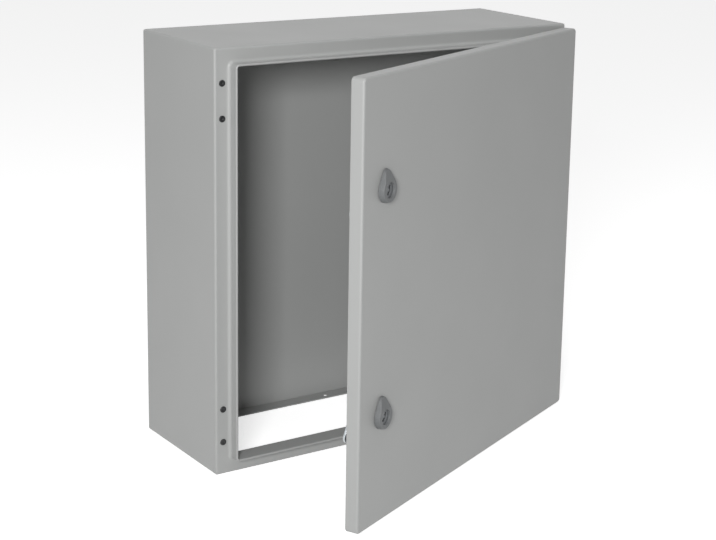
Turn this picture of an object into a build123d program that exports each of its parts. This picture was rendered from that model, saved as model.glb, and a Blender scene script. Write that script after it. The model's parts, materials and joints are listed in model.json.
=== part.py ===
from build123d import *
import math
import os

# Steel wall enclosure with one hinged door. Millimetres, +Z up, the door side faces -Y.
# The origin is the centre of the four wall fixing holes, on the outer face of the back.

# Cabinet
width = 600.0
height = 600.0
depth = 210.0
sheet = 1.5
corner_inner_r = 1.7
front_bend_r = 3.0

# Folded rim and rain lip round the front opening
rim_width = 21.0
rim_side_width = 23.0
lip_wall = 3.0
lip_forward = 18.0
lip_corner_r = 3.0
lip_bend_r = 4.8
lip_edge_share = 0.46
lip_return = 30.0

# Fixing holes and welded studs in the back
wall_hole_r = 4.25
wall_hole_edge = 30.0
plate_stud_r = 4.0
plate_stud_length = 32.0
plate_stud_edge = 50.0
stud_weld_r = 5.5
stud_weld_height = 1.2

# Cable opening in the bottom
cable_side_margin = 55.0
cable_rear_margin = 26.0
cable_front_margin = 30.0
cable_corner_r = 6.0
cable_screw_r = 3.2
cable_screw_edge = 10.0

# Rim holes for the hinge screws, the same on both sides so that the door can hang either way
rim_hole_r = 2.75
rim_hole_edge = 47.5
rim_hole_pitch = 48.0

# Plugs that close the unused rim holes
plug_head_r = 4.6
plug_head_height = 1.2
plug_edge_r = 0.8
plug_lip_gap = 2.1
plug_dimple_r = 1.2
plug_dimple_depth = 0.5
plug_stem_clearance = 0.1
plug_stem_length = 5.0
plug_barb_height = 1.6
plug_barb_grip = 0.45

# Door, as wide as the cabinet
door_top_gap = 5.0
door_bottom_gap = 1.0
door_depth = 19.0
door_gap = 6.0
door_bend_inner_r = 1.5
door_corner_inner_r = 4.5
rest_opening = 24.6

# Foamed seal in the door
seal_width = 10.0
seal_clearance = 0.3
seal_corner_r = 9.0

# Perforated rails in the door
rail_width = 20.0
rail_depth = 12.0
rail_sheet = 1.5
rail_bend_r = 0.5
rail_end_gap = 56.5
rail_from_lock_edge = 88.0
rail_from_hinge_edge = 68.0
rail_hole_r = 3.2
rail_hole_pitch = 25.0
rail_hole_end = 40.0
rail_stud_r = 3.0
rail_stud_end = 16.0
rail_stud_height = 19.0
rail_nut_flats = 10.0
rail_nut_height = 5.0

# Hinges: a base screwed to the rim, an arm on the door, and a lift-out pin
pin_ahead = 14.0
pin_r = 2.5
pin_clearance = 0.05
pin_head_r = 3.9
pin_head_height = 2.0
pin_tail = 2.0
knuckle_r = 4.2
knuckle_side_gap = 0.3
knuckle_length = 20.0
ear_length = 6.0
hinge_play = 0.4
base_length = 72.0
base_thickness = 3.0
base_lip_gap = 0.3
stem_thickness = 4.1
bar_front = 3.8
bar_back = 0.8
arm_length = 60.0
arm_sheet = 2.0
arm_reach = 10.4
arm_stud_offset = 23.0
arm_stud_r = 2.0
arm_stud_height = 7.0
arm_nut_flats = 7.0
arm_nut_height = 3.2
hinge_screw_r = 2.5
hinge_screw_head_r = 4.8
hinge_screw_head_height = 2.5
hinge_screw_head_gap = 0.1
hinge_screw_length = 13.0
hinge_socket_flats = 3.0
hinge_socket_depth = 1.6
hinge_nut_flats = 8.0
hinge_nut_height = 4.0

# Quarter-turn locks
lock_from_edge = 52.0
lock_pitch = 300.0
lock_wide_r = 16.0
lock_narrow_r = 7.0
lock_centre_gap = 19.0
lock_proud = 8.0
lock_tail_proud = 3.5
lock_tail_start = 11.5
lock_taper = 8.0
lock_edge_r = 1.2
lock_gasket = 0.8
lock_gasket_inset = 0.5
barrel_r = 11.0
barrel_flat = 10.0
barrel_clearance = 0.2
lock_nut_wall = 2.5
lock_nut_height = 5.0
insert_r = 10.0
insert_recess = 3.0
insert_height = 4.0
insert_edge_r = 0.6
insert_clearance = 0.06
insert_shaft_r = 6.0
key_well_r = 3.0
key_well_depth = 8.0
key_pin_r = 2.1
key_pin_recess = 0.3
key_bit_reach = 6.6
key_bit_width = 4.2
key_bit_depth = 3.2
cam_square = 8.0
cam_square_clearance = 0.1
cam_gap = 0.3
cam_lip_gap = 0.8
cam_width = 16.0
cam_sheet = 3.0
cam_hub_reach = 12.0
cam_crank_run = 7.0
cam_crank = 6.0
cam_reach = 44.0
cam_screw_r = 3.0
cam_screw_length = 8.0
cam_screw_hole_end = 1.0
cam_screw_head_flats = 10.0
cam_screw_head_height = 4.0
cam_washer_r = 7.0
cam_washer_height = 1.2
upper_lock_turn = 17.0
lower_lock_turn = 30.0

# Earthing studs
earth_stud_r = 4.0
earth_stud_length = 18.0
earth_nut_flats = 13.0
earth_nut_height = 6.5
earth_washer_r = 8.0
earth_washer_height = 1.6
earth_washer_teeth = 12
thread_clearance = 0.05
body_earth_back = 60.0
body_earth_up = 60.0
door_earth_in = 105.0
door_earth_up = 55.0
door_stud_length = 14.0

# Values worked out from the sizes above
rim_y = -depth
side_x = width / 2
lip_out = side_x - rim_side_width
lip_in = lip_out - lip_wall
lip_out_z = height / 2 - rim_width
lip_in_z = lip_out_z - lip_wall
corner_outer_r = corner_inner_r + sheet
rim_back = rim_y + sheet
lip_front = rim_y - lip_forward
return_back = lip_front + lip_return
rim_hole_x = lip_out + lip_bend_r + plug_lip_gap + plug_head_r
hinge_z = height / 2 - rim_hole_edge - rim_hole_pitch / 2
hinge_zs = {"upper": hinge_z, "lower": -hinge_z}
door_width = width
door_height = height - door_top_gap - door_bottom_gap
door_drop = (door_top_gap - door_bottom_gap) / 2
door_back = rim_y - door_gap
door_front = door_back - door_depth
door_inner = door_front + sheet
door_side_inner = door_width / 2 - sheet
rail_length = door_height - 2 * rail_end_gap
rail_hole_count = math.floor((rail_length - 2 * rail_hole_end) / rail_hole_pitch) + 1
pin_x = door_side_inner - knuckle_side_gap - knuckle_r
pin_y = rim_y - pin_ahead
lock_x = lock_from_edge - door_width / 2
lock_zs = {"upper": lock_pitch / 2 - door_drop, "lower": -lock_pitch / 2 - door_drop}
lock_turns = {"upper": upper_lock_turn, "lower": lower_lock_turn}
lock_face = door_front - lock_gasket - lock_proud
insert_face = lock_face + insert_recess
cam_face = return_back + cam_lip_gap - cam_crank
barrel_end = cam_face - cam_gap


def prism_y(face, y_back, y_front):
    """A flat shape drawn in X and Z, made solid from y_back forward to y_front."""
    return extrude(Plane.XZ.offset(-y_back) * face, amount=y_back - y_front)


def block(x0, x1, y0, y1, z0, z1):
    """A box between two opposite corners."""
    box = Box(x1 - x0, y1 - y0, z1 - z0, align=(Align.MIN, Align.MIN, Align.MIN))
    return Pos(x0, y0, z0) * box


def rod_y(x, z, radius, y_back, y_front):
    """A round bar along Y."""
    return prism_y(Pos(x, z) * Circle(radius), y_back, y_front)


def rod_z(x, y, radius, z0, z1):
    """A round bar along Z."""
    return Pos(x, y, z0) * extrude(Circle(radius), amount=z1 - z0)


def hexagon_y(x, z, flats, y_back, y_front):
    """A hexagonal bar along Y, flats across its sides."""
    shape = RegularPolygon(flats / 2, 6, major_radius=False)
    return prism_y(Pos(x, z) * shape, y_back, y_front)


def ring_y(outer, inner, y_back, y_front):
    """A frame along Y between two flat outlines."""
    return prism_y(outer, y_back, y_front) - prism_y(inner, y_back, y_front)


def nut_y(x, z, flats, hole_r, y_back, y_front):
    """A hexagon nut with its hole along Y."""
    return hexagon_y(x, z, flats, y_back, y_front) - rod_y(x, z, hole_r, y_back, y_front)


def corners(dx, dz):
    """The four corners of a rectangle centred on the origin."""
    return [(sx * dx, sz * dz) for sx in (-1, 1) for sz in (-1, 1)]


def edges_at(part, y, x_limit, z_limit):
    """The edges of a part in the plane at y that lie inside the given limits."""
    found = []
    for edge in part.edges():
        box = edge.bounding_box()
        flat = abs(box.min.Y - y) < 1e-3 and abs(box.max.Y - y) < 1e-3
        inside = max(abs(box.min.X), abs(box.max.X)) < x_limit + 1e-3
        low = max(abs(box.min.Z), abs(box.max.Z)) < z_limit + 1e-3
        if flat and inside and low:
            found.append(edge)
    return found


def rim_hole_zs():
    """The heights of the rim holes: two for each hinge place."""
    offsets = (-rim_hole_pitch / 2, rim_hole_pitch / 2)
    return [z + dz for z in (hinge_z, -hinge_z) for dz in offsets]


# Cabinet

def body_shell():
    """The bent wrap with its front rims and rain lip, whose sheet turns back inside it."""
    outline = RectangleRounded(width, height, corner_outer_r)
    hollow = RectangleRounded(width - 2 * sheet, height - 2 * sheet, corner_inner_r)
    shell = prism_y(outline, 0, rim_y)
    front_edges = edges_at(shell, rim_y, side_x, height / 2)
    shell = fillet(front_edges, front_bend_r)
    shell -= prism_y(hollow, 0, rim_back)
    lip_outer = RectangleRounded(2 * lip_out, 2 * lip_out_z, lip_corner_r + lip_wall)
    lip_inner = RectangleRounded(2 * lip_in, 2 * lip_in_z, lip_corner_r)
    fold_x = lip_in + sheet
    fold_z = lip_in_z + sheet
    fold = RectangleRounded(2 * fold_x, 2 * fold_z, lip_corner_r + sheet)
    shell += prism_y(lip_outer, rim_y, lip_front)
    shell -= prism_y(fold, rim_back, lip_front)
    concave = edges_at(shell, rim_y, lip_out, lip_out_z)
    shell = fillet(concave, lip_bend_r)
    behind = edges_at(shell, rim_back, fold_x, fold_z)
    shell = fillet(behind, lip_bend_r + sheet)
    shell += ring_y(fold, lip_inner, return_back, lip_front)
    front = edges_at(shell, lip_front, lip_out, lip_out_z)
    shell = fillet(front, lip_wall * lip_edge_share)
    for sx in (-1, 1):
        for z in rim_hole_zs():
            shell -= rod_y(sx * rim_hole_x, z, rim_hole_r, rim_back, rim_y)
    return shell - cable_cut()


def cable_cut():
    """The cable opening in the bottom, with the screw holes of its cover plate."""
    long_x = width - 2 * cable_side_margin
    y_rear = -cable_rear_margin
    y_front = rim_y + cable_front_margin
    middle = (y_rear + y_front) / 2
    slot = RectangleRounded(long_x, y_rear - y_front, cable_corner_r)
    bottom = Pos(0, middle, -height / 2)
    cut = bottom * extrude(slot, amount=sheet)
    screw_y = (y_rear - y_front) / 2 + cable_screw_edge
    screw_x = long_x / 2 - cable_screw_edge
    places = corners(screw_x, screw_y) + [(0, screw_y), (0, -screw_y)]
    for x, y in places:
        cut += bottom * Pos(x, y, 0) * extrude(Circle(cable_screw_r), amount=sheet)
    return cut


def back_panel():
    """The flat back sheet, welded inside the wrap, with the wall fixing holes."""
    across = width - 2 * sheet
    up = height - 2 * sheet
    panel = prism_y(RectangleRounded(across, up, corner_inner_r), 0, -sheet)
    for x, z in corners(side_x - wall_hole_edge, height / 2 - wall_hole_edge):
        panel -= rod_y(x, z, wall_hole_r, 0, -sheet)
    return panel


def plate_studs():
    """Four studs on the back for a mounting plate, each with its weld collar."""
    studs = []
    for x, z in corners(side_x - plate_stud_edge, height / 2 - plate_stud_edge):
        stud = rod_y(x, z, plate_stud_r, -sheet, -sheet - plate_stud_length)
        tip = edges_at(stud, -sheet - plate_stud_length, side_x, height / 2)
        stud = chamfer(tip, plate_stud_r / 5)
        collar = rod_y(x, z, stud_weld_r, -sheet, -sheet - stud_weld_height)
        studs.append(stud + collar)
    return studs


def rim_plugs():
    """The four snap plugs in the free rim."""
    plugs = []
    for z in rim_hole_zs():
        x = -rim_hole_x
        top = rim_y - plug_head_height
        head = rod_y(x, z, plug_head_r, rim_y, top)
        head = fillet(edges_at(head, top, side_x, height / 2), plug_edge_r)
        head -= rod_y(x, z, plug_dimple_r, top + plug_dimple_depth, top)
        stem_r = rim_hole_r - plug_stem_clearance
        stem = rod_y(x, z, stem_r, rim_y + plug_stem_length, rim_y)
        barb_y = rim_back + 2 * plug_stem_clearance
        barb = rod_y(x, z, rim_hole_r + plug_barb_grip, barb_y + plug_barb_height, barb_y)
        plugs.append(head + stem + barb)
    return plugs


def hinge_base(z):
    """The hinge half on the rim: a plate, a stem along the lip, and two ears for the pin."""
    right = side_x - front_bend_r
    left = lip_out + base_lip_gap
    stem_right = left + stem_thickness
    round_r = lip_bend_r + base_lip_gap
    plate_front = rim_y - base_thickness
    bar_low = pin_y - bar_front
    bar_high = pin_y - bar_back
    low = z - base_length / 2
    plate = block(left, right, plate_front, rim_y, low, z + base_length / 2)
    half = knuckle_length / 2 + hinge_play + ear_length
    plate += block(left, stem_right, bar_low, rim_y, z - half, z + half)
    heel = [e for e in plate.edges().filter_by(Axis.Z)
            if abs(e.center().X - left) < 1e-3 and abs(e.center().Y - rim_y) < 1e-3]
    plate = fillet(heel, round_r)
    for sz in (-1, 1):
        z0 = z + sz * (knuckle_length / 2 + hinge_play)
        z1 = z + sz * half
        z_low, z_high = min(z0, z1), max(z0, z1)
        plate += block(left, pin_x, bar_low, bar_high, z_low, z_high)
        plate += rod_z(pin_x, pin_y, knuckle_r, z_low, z_high)
    plate -= rod_z(pin_x, pin_y, pin_r + pin_clearance, z - half, z + half)
    for dz in (-rim_hole_pitch / 2, rim_hole_pitch / 2):
        plate -= rod_y(rim_hole_x, z + dz, rim_hole_r, rim_y, plate_front)
        plate -= screw_head(rim_hole_x, z + dz, plate_front, hinge_screw_head_gap)
    return plate


def screw_head(x, z, face, clearance):
    """The cone of a countersunk screw head, its flat face at y = face."""
    wide = hinge_screw_head_r + clearance
    narrow = hinge_screw_r + clearance
    cone = Cone(wide, narrow, hinge_screw_head_height, align=(Align.CENTER, Align.CENTER, Align.MIN))
    return Pos(x, face, z) * Rot(-90, 0, 0) * cone


def hinge_screws():
    """Countersunk socket screws that hold the hinge bases to the rim."""
    face = rim_y - base_thickness
    screws = []
    for z in rim_hole_zs():
        shank = rod_y(rim_hole_x, z, hinge_screw_r, face + hinge_screw_length, face)
        screw = shank + screw_head(rim_hole_x, z, face, 0)
        socket = hexagon_y(rim_hole_x, z, hinge_socket_flats, face + hinge_socket_depth, face)
        screws.append(screw - socket)
    return screws


def hinge_nuts():
    """Nuts behind the rim on the hinge screws."""
    hole_r = hinge_screw_r + thread_clearance
    back = rim_back + hinge_nut_height
    return [nut_y(rim_hole_x, z, hinge_nut_flats, hole_r, back, rim_back) for z in rim_hole_zs()]


def body_earth_place():
    """Where the cabinet's earthing stud stands on the hinge side wall."""
    return -body_earth_back, body_earth_up - height / 2


def to_side_wall(part):
    """Turns a part built along Y at the origin so that it stands on the hinge side wall."""
    y, z = body_earth_place()
    return Pos(side_x - sheet, y, z) * Rot(0, 0, -90) * part


def earth_stud(length):
    """An earthing stud with its weld collar, base at the origin, pointing along -Y."""
    stud = rod_y(0, 0, earth_stud_r, 0, -length)
    stud = chamfer(edges_at(stud, -length, side_x, height / 2), earth_stud_r / 5)
    return stud + rod_y(0, 0, stud_weld_r, 0, -stud_weld_height)


def earth_washer():
    """A toothed washer on an earthing stud."""
    back = -stud_weld_height
    front = back - earth_washer_height
    washer = rod_y(0, 0, earth_washer_r, back, front)
    tooth = earth_washer_r / 8
    for step in range(earth_washer_teeth):
        angle = math.tau * step / earth_washer_teeth
        x, z = earth_washer_r * math.cos(angle), earth_washer_r * math.sin(angle)
        washer -= rod_y(x, z, tooth, back, front)
    return washer - rod_y(0, 0, earth_stud_r + thread_clearance, back, front)


def earth_nut():
    """The nut on an earthing stud."""
    back = -stud_weld_height - earth_washer_height
    hole_r = earth_stud_r + thread_clearance
    return nut_y(0, 0, earth_nut_flats, hole_r, back, back - earth_nut_height)


# Door, drawn closed and turned to its rest opening when it is written

def door_panel():
    """The folded door pan with its two lock holes."""
    place = Pos(0, -door_drop)
    outline = place * RectangleRounded(door_width, door_height, door_corner_inner_r + sheet)
    pan = prism_y(outline, door_back, door_front)
    pan = fillet(edges_at(pan, door_front, door_width / 2, height), door_bend_inner_r + sheet)
    across = door_width - 2 * sheet
    up = door_height - 2 * sheet
    inside = place * RectangleRounded(across, up, door_corner_inner_r)
    hollow = prism_y(inside, door_back, door_inner)
    hollow = fillet(edges_at(hollow, door_inner, door_width / 2, height), door_bend_inner_r)
    pan -= hollow
    for z in lock_zs.values():
        pan -= barrel(z, barrel_clearance, door_inner, door_front)
    return pan


def barrel(z, extra, y_back, y_front):
    """The lock barrel's section, round with two flats, grown by extra."""
    shape = Circle(barrel_r + extra) & Rectangle(2 * (barrel_flat + extra), 3 * barrel_r)
    return prism_y(Pos(lock_x, z) * shape, y_back, y_front)


def door_seal():
    """The foamed seal in the door pan, where the lip presses."""
    middle_x = (lip_out + lip_in) / 2
    middle_z = (lip_out_z + lip_in_z) / 2
    half = seal_width / 2
    outer = RectangleRounded(2 * (middle_x + half), 2 * (middle_z + half), seal_corner_r)
    inner_r = seal_corner_r - half
    inner = RectangleRounded(2 * (middle_x - half), 2 * (middle_z - half), inner_r)
    seal_back = lip_front - seal_clearance
    seal = ring_y(outer, inner, seal_back, door_inner)
    rounded = edges_at(seal, seal_back, side_x, height / 2)
    return fillet(rounded, (seal_back - door_inner) / 3)


def rail_places():
    """The middle line of each door rail in x."""
    lock_side = rail_from_lock_edge - door_width / 2
    hinge_side = door_width / 2 - rail_from_hinge_edge
    return {"lock_side": lock_side, "hinge_side": hinge_side}


def door_rail(x):
    """A channel rail on the door, with a row of round holes."""
    back = door_inner + rail_depth
    half = rail_width / 2
    z0 = -rail_length / 2 - door_drop
    z1 = rail_length / 2 - door_drop
    rail = block(x - half, x + half, door_inner, back, z0, z1)
    long_edges = [e for e in rail.edges().filter_by(Axis.Z) if abs(e.center().Y - back) < 1e-3]
    rail = fillet(long_edges, rail_sheet + rail_bend_r)
    inside = half - rail_sheet
    rail -= block(x - inside, x + inside, door_inner, back - rail_sheet, z0, z1)
    for step in range(rail_hole_count):
        z = (step - (rail_hole_count - 1) / 2) * rail_hole_pitch - door_drop
        rail -= rod_y(x, z, rail_hole_r, back, back - rail_sheet)
    for z in rail_stud_zs():
        rail -= rod_y(x, z, rail_stud_r + barrel_clearance, back, back - rail_sheet)
    return rail


def rail_stud_zs():
    """The heights of the studs at the ends of each rail."""
    reach = rail_length / 2 - rail_stud_end
    return [-reach - door_drop, reach - door_drop]


def rail_studs():
    """The studs welded to the door that hold the rails."""
    places = [(x, z) for x in rail_places().values() for z in rail_stud_zs()]
    return [rod_y(x, z, rail_stud_r, door_inner + rail_stud_height, door_inner) for x, z in places]


def rail_nuts():
    """The nuts that hold the rails on their studs."""
    hole_r = rail_stud_r + thread_clearance
    front = door_inner + rail_depth
    back = front + rail_nut_height
    places = [(x, z) for x in rail_places().values() for z in rail_stud_zs()]
    return [nut_y(x, z, rail_nut_flats, hole_r, back, front) for x, z in places]


def arm_studs():
    """The studs on the door that hold the hinge arms."""
    top = door_inner + arm_stud_height
    return [rod_y(arm_stud_x(), z + dz, arm_stud_r, top, door_inner)
            for z in hinge_zs.values() for dz in (-arm_stud_offset, arm_stud_offset)]


def arm_nuts():
    """The nuts on the hinge arm studs."""
    front = door_inner + arm_sheet
    back = front + arm_nut_height
    hole_r = arm_stud_r + thread_clearance
    return [nut_y(arm_stud_x(), z + dz, arm_nut_flats, hole_r, back, front)
            for z in hinge_zs.values() for dz in (-arm_stud_offset, arm_stud_offset)]


def arm_stud_x():
    """The line of the hinge arm studs, in the middle of the arm's plate."""
    return (pin_x - arm_reach + door_side_inner) / 2


def hinge_arm(z):
    """The hinge half on the door: a plate, a side leaf and the knuckle round the pin."""
    left = pin_x - arm_reach
    back = door_inner + arm_sheet
    low = z - arm_length / 2
    arm = block(left, door_side_inner, door_inner, back, low, z + arm_length / 2)
    half = knuckle_length / 2
    leaf_left = door_side_inner - arm_sheet
    leaf_back = pin_y + knuckle_r
    arm += block(leaf_left, door_side_inner, door_inner, leaf_back, z - half, z + half)
    heel = [e for e in arm.edges().filter_by(Axis.Z)
            if abs(e.center().X - door_side_inner) < 1e-3 and abs(e.center().Y - door_inner) < 1e-3]
    arm = chamfer(heel, door_bend_inner_r + sheet / 2)
    arm += rod_z(pin_x, pin_y, knuckle_r, z - half, z + half)
    arm -= rod_z(pin_x, pin_y, pin_r + pin_clearance, z - half, z + half)
    for dz in (-arm_stud_offset, arm_stud_offset):
        hole_r = arm_stud_r + barrel_clearance
        arm -= rod_y(arm_stud_x(), z + dz, hole_r, back, door_inner)
    return arm


def hinge_pin(z):
    """The lift-out hinge pin with its head on the upper ear."""
    half = knuckle_length / 2 + hinge_play + ear_length
    pin = rod_z(pin_x, pin_y, pin_r, z - half - pin_tail, z + half)
    tail = [e for e in pin.edges() if abs(e.center().Z - (z - half - pin_tail)) < 1e-3]
    pin = chamfer(tail, pin_r / 4)
    head = rod_z(pin_x, pin_y, pin_head_r, z + half, z + half + pin_head_height)
    crown = [e for e in head.edges() if abs(e.center().Z - (z + half + pin_head_height)) < 1e-3]
    return pin + fillet(crown, pin_head_height / 3)


# Locks, drawn with the key slot upright and the cam pointing down

def egg(shrink):
    """The lock plate's outline: a wide circle round the lock and a narrow one above it."""
    wide = lock_wide_r - shrink
    narrow = lock_narrow_r - shrink
    lean = math.asin((wide - narrow) / lock_centre_gap)
    wide_x, wide_z = wide * math.cos(lean), wide * math.sin(lean)
    narrow_x = narrow * math.cos(lean)
    narrow_z = lock_centre_gap + narrow * math.sin(lean)
    top = lock_centre_gap + narrow
    sides = Line((wide_x, wide_z), (narrow_x, narrow_z)) + Line((-narrow_x, narrow_z), (-wide_x, wide_z))
    arcs = ThreePointArc((narrow_x, narrow_z), (0, top), (-narrow_x, narrow_z))
    arcs += ThreePointArc((-wide_x, wide_z), (0, -wide), (wide_x, wide_z))
    return make_face(sides + arcs)


def tail_cut(base):
    """What is cut off the narrow end of a lock plate, so that it slopes down to the door."""
    tip = lock_centre_gap + lock_narrow_r
    low = base - lock_tail_proud
    ahead = lock_face - lock_proud
    start = lock_tail_start
    side = [(lock_face, start), (low, tip), (low, 2 * tip), (ahead, 2 * tip), (ahead, start)]
    face = Plane.YZ * make_face(Polyline(*side, close=True))
    return extrude(face, amount=2 * lock_wide_r, both=True)


def lock_housing(z):
    """The lock plate with its tapered side, and the flatted barrel through the door."""
    base = door_front - lock_gasket
    grown = -lock_proud * math.tan(math.radians(lock_taper))
    face = Plane.XZ.offset(-base) * Pos(lock_x, z) * egg(grown)
    boss = extrude(face, amount=lock_proud, taper=lock_taper)
    rim = [e for e in boss.edges() if abs(e.center().Y - lock_face) < 1e-3]
    boss = fillet(rim, lock_edge_r)
    boss -= Pos(lock_x, 0, z) * tail_cut(base)
    boss += barrel(z, 0, barrel_end, base)
    seat = insert_face + insert_height + insert_clearance
    boss -= rod_y(lock_x, z, insert_r + insert_clearance, seat, lock_face)
    boss -= rod_y(lock_x, z, insert_shaft_r + insert_clearance, barrel_end, lock_face)
    return boss


def lock_gasket_ring(z):
    """The thin flat gasket under the lock plate."""
    plate = prism_y(Pos(lock_x, z) * egg(lock_gasket_inset), door_front, door_front - lock_gasket)
    return plate - barrel(z, barrel_clearance, door_front, door_front - lock_gasket)


def lock_nut(z):
    """The large nut that clamps the lock from inside the door."""
    hole_r = barrel_r + thread_clearance
    flats = 2 * (barrel_r + lock_nut_wall)
    return nut_y(lock_x, z, flats, hole_r, door_inner + lock_nut_height, door_inner)


def turned(part, z, turn):
    """A part of the lock turned clockwise, seen from the front, about the lock's axis."""
    return Pos(lock_x, 0, z) * Rot(0, turn, 0) * part


def lock_insert(z, turn):
    """The round insert with its double-bit key slot, shaft and square end."""
    head_back = insert_face + insert_height
    part = rod_y(0, 0, insert_r, head_back, insert_face)
    part = fillet(edges_at(part, insert_face, side_x, side_x), insert_edge_r)
    part += rod_y(0, 0, insert_shaft_r, barrel_end, head_back)
    half = cam_square / 2
    square_end = cam_face + cam_sheet - cam_gap
    part += block(-half, half, barrel_end, square_end, -half, half)
    well = rod_y(0, 0, key_well_r, insert_face + key_well_depth, insert_face)
    well -= rod_y(0, 0, key_pin_r, insert_face + key_well_depth, insert_face + key_pin_recess)
    bit = key_bit_width / 2
    bits = block(-bit, bit, insert_face, insert_face + key_bit_depth, -key_bit_reach, key_bit_reach)
    bits -= rod_y(0, 0, key_well_r, insert_face + key_bit_depth, insert_face)
    part -= well
    part -= bits
    hole_end = cam_face + cam_sheet - cam_screw_length - cam_screw_hole_end
    part -= rod_y(0, 0, cam_screw_r + thread_clearance, square_end, hole_end)
    return turned(part, z, turn)


def lock_cam(z, turn):
    """The cranked cam that swings behind the folded lip."""
    face = cam_face
    back = face + cam_sheet
    inner = cam_hub_reach
    outer = cam_hub_reach + cam_crank_run
    side = [
        (face, cam_width / 2), (back, cam_width / 2), (back, -inner), (back + cam_crank, -outer),
        (back + cam_crank, -cam_reach), (face + cam_crank, -cam_reach),
        (face + cam_crank, -outer), (face, -inner),
    ]
    strip = extrude(Plane.YZ * make_face(Polyline(*side, close=True)), amount=cam_width / 2, both=True)
    half = cam_width / 2
    tip_top = cam_reach - half
    outline = Pos(0, -tip_top) * Circle(half) + Circle(half)
    outline += Pos(0, -tip_top / 2) * Rectangle(cam_width, tip_top)
    cam = strip & prism_y(outline, back + cam_crank, face)
    hole = cam_square / 2 + cam_square_clearance
    cam -= block(-hole, hole, face, back, -hole, hole)
    return turned(cam, z, turn)


def cam_screw(z, turn):
    """The screw and washer that hold the cam on the insert."""
    face = cam_face + cam_sheet
    washer_back = face + cam_washer_height
    screw = rod_y(0, 0, cam_washer_r, washer_back, face)
    screw += hexagon_y(0, 0, cam_screw_head_flats, washer_back + cam_screw_head_height, washer_back)
    screw += rod_y(0, 0, cam_screw_r, face, face - cam_screw_length)
    return turned(screw, z, turn)


def opened(part):
    """A door part turned from closed to the rest opening about the hinge pins."""
    about = Pos(pin_x, pin_y, 0) * Rot(0, 0, rest_opening) * Pos(-pin_x, -pin_y, 0)
    return about * part


def on_door(part):
    """An earthing part set on the inside of the door and opened with it."""
    x = door_width / 2 - door_earth_in
    z = -door_height / 2 - door_drop + door_earth_up
    return opened(Pos(x, door_inner, z) * Rot(0, 0, 180) * part)


def group(solids):
    """Identical fasteners kept as one node of separate solids."""
    return Compound(children=[Part() + s for s in solids])


os.makedirs("parts", exist_ok=True)

nodes = {
    "body_shell": body_shell(),
    "back_panel": back_panel(),
    "plate_studs": group(plate_studs()),
    "rim_plugs": group(rim_plugs()),
    "hinge_screws": group(hinge_screws()),
    "hinge_nuts": group(hinge_nuts()),
    "body_earth_stud": to_side_wall(earth_stud(earth_stud_length)),
    "body_earth_washer": to_side_wall(earth_washer()),
    "body_earth_nut": to_side_wall(earth_nut()),
    "door_panel": opened(door_panel()),
    "door_seal": opened(door_seal()),
    "rail_studs": group([opened(s) for s in rail_studs()]),
    "rail_nuts": group([opened(s) for s in rail_nuts()]),
    "arm_studs": group([opened(s) for s in arm_studs()]),
    "arm_nuts": group([opened(s) for s in arm_nuts()]),
    "door_earth_stud": on_door(earth_stud(door_stud_length)),
    "door_earth_washer": on_door(earth_washer()),
    "door_earth_nut": on_door(earth_nut()),
}
for side, x in rail_places().items():
    nodes["door_rail_" + side] = opened(door_rail(x))
for place, z in hinge_zs.items():
    nodes["hinge_base_" + place] = hinge_base(z)
    nodes["hinge_pin_" + place] = hinge_pin(z)
    nodes["hinge_arm_" + place] = opened(hinge_arm(z))
for place, z in lock_zs.items():
    nodes["lock_housing_" + place] = opened(lock_housing(z))
    nodes["lock_gasket_" + place] = opened(lock_gasket_ring(z))
    nodes["lock_nut_" + place] = opened(lock_nut(z))
    nodes["lock_insert_" + place] = opened(lock_insert(z, lock_turns[place]))
    nodes["lock_cam_" + place] = opened(lock_cam(z, lock_turns[place]))
    nodes["lock_cam_screw_" + place] = opened(cam_screw(z, lock_turns[place]))
for name, part in nodes.items():
    export_step(part, f"parts/{name}.step")
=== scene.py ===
import json
import logging
import math
from dataclasses import dataclass
from enum import Enum

import bmesh
import bpy
import numpy as np
from mathutils import Matrix, Vector

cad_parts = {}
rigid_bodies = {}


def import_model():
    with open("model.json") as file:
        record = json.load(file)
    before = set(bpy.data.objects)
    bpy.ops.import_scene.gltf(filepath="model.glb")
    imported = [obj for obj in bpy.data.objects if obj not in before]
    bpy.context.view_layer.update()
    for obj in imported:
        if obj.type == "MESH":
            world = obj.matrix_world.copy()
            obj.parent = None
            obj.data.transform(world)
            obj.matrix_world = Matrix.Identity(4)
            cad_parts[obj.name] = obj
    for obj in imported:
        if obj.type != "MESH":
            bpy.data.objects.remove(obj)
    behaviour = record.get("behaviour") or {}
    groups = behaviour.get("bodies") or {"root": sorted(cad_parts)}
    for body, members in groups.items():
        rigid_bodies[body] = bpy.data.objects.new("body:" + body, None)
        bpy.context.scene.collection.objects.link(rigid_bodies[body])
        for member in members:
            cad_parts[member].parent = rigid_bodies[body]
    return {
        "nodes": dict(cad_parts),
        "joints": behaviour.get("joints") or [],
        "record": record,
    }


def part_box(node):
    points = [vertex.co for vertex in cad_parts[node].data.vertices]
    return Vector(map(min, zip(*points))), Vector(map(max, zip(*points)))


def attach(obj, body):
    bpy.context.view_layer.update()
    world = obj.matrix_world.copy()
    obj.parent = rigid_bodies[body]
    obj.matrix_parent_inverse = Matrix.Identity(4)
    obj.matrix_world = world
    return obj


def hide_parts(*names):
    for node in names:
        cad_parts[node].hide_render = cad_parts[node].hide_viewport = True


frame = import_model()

log = logging.getLogger("enclosure")

# Lengths are millimetres here, and a mesh is scaled to metres once, when it is made.
MM = 0.001
ROUND_SIDES = 96
# A bend or a rounded edge has an extra ring this far away on its flat, so that the flat is shaded flat.
BESIDE_BEND = 1.0
# The foamed seal is drawn in steps of this length.
BEAD_STEP = 4.0
SMOOTH_ANGLE = 35.0

Ring = np.ndarray
Point = tuple[float, float]


class Ends(Enum):
    """How a loft ends."""

    CAPPED = "capped"
    LOOPED = "looped"


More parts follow.
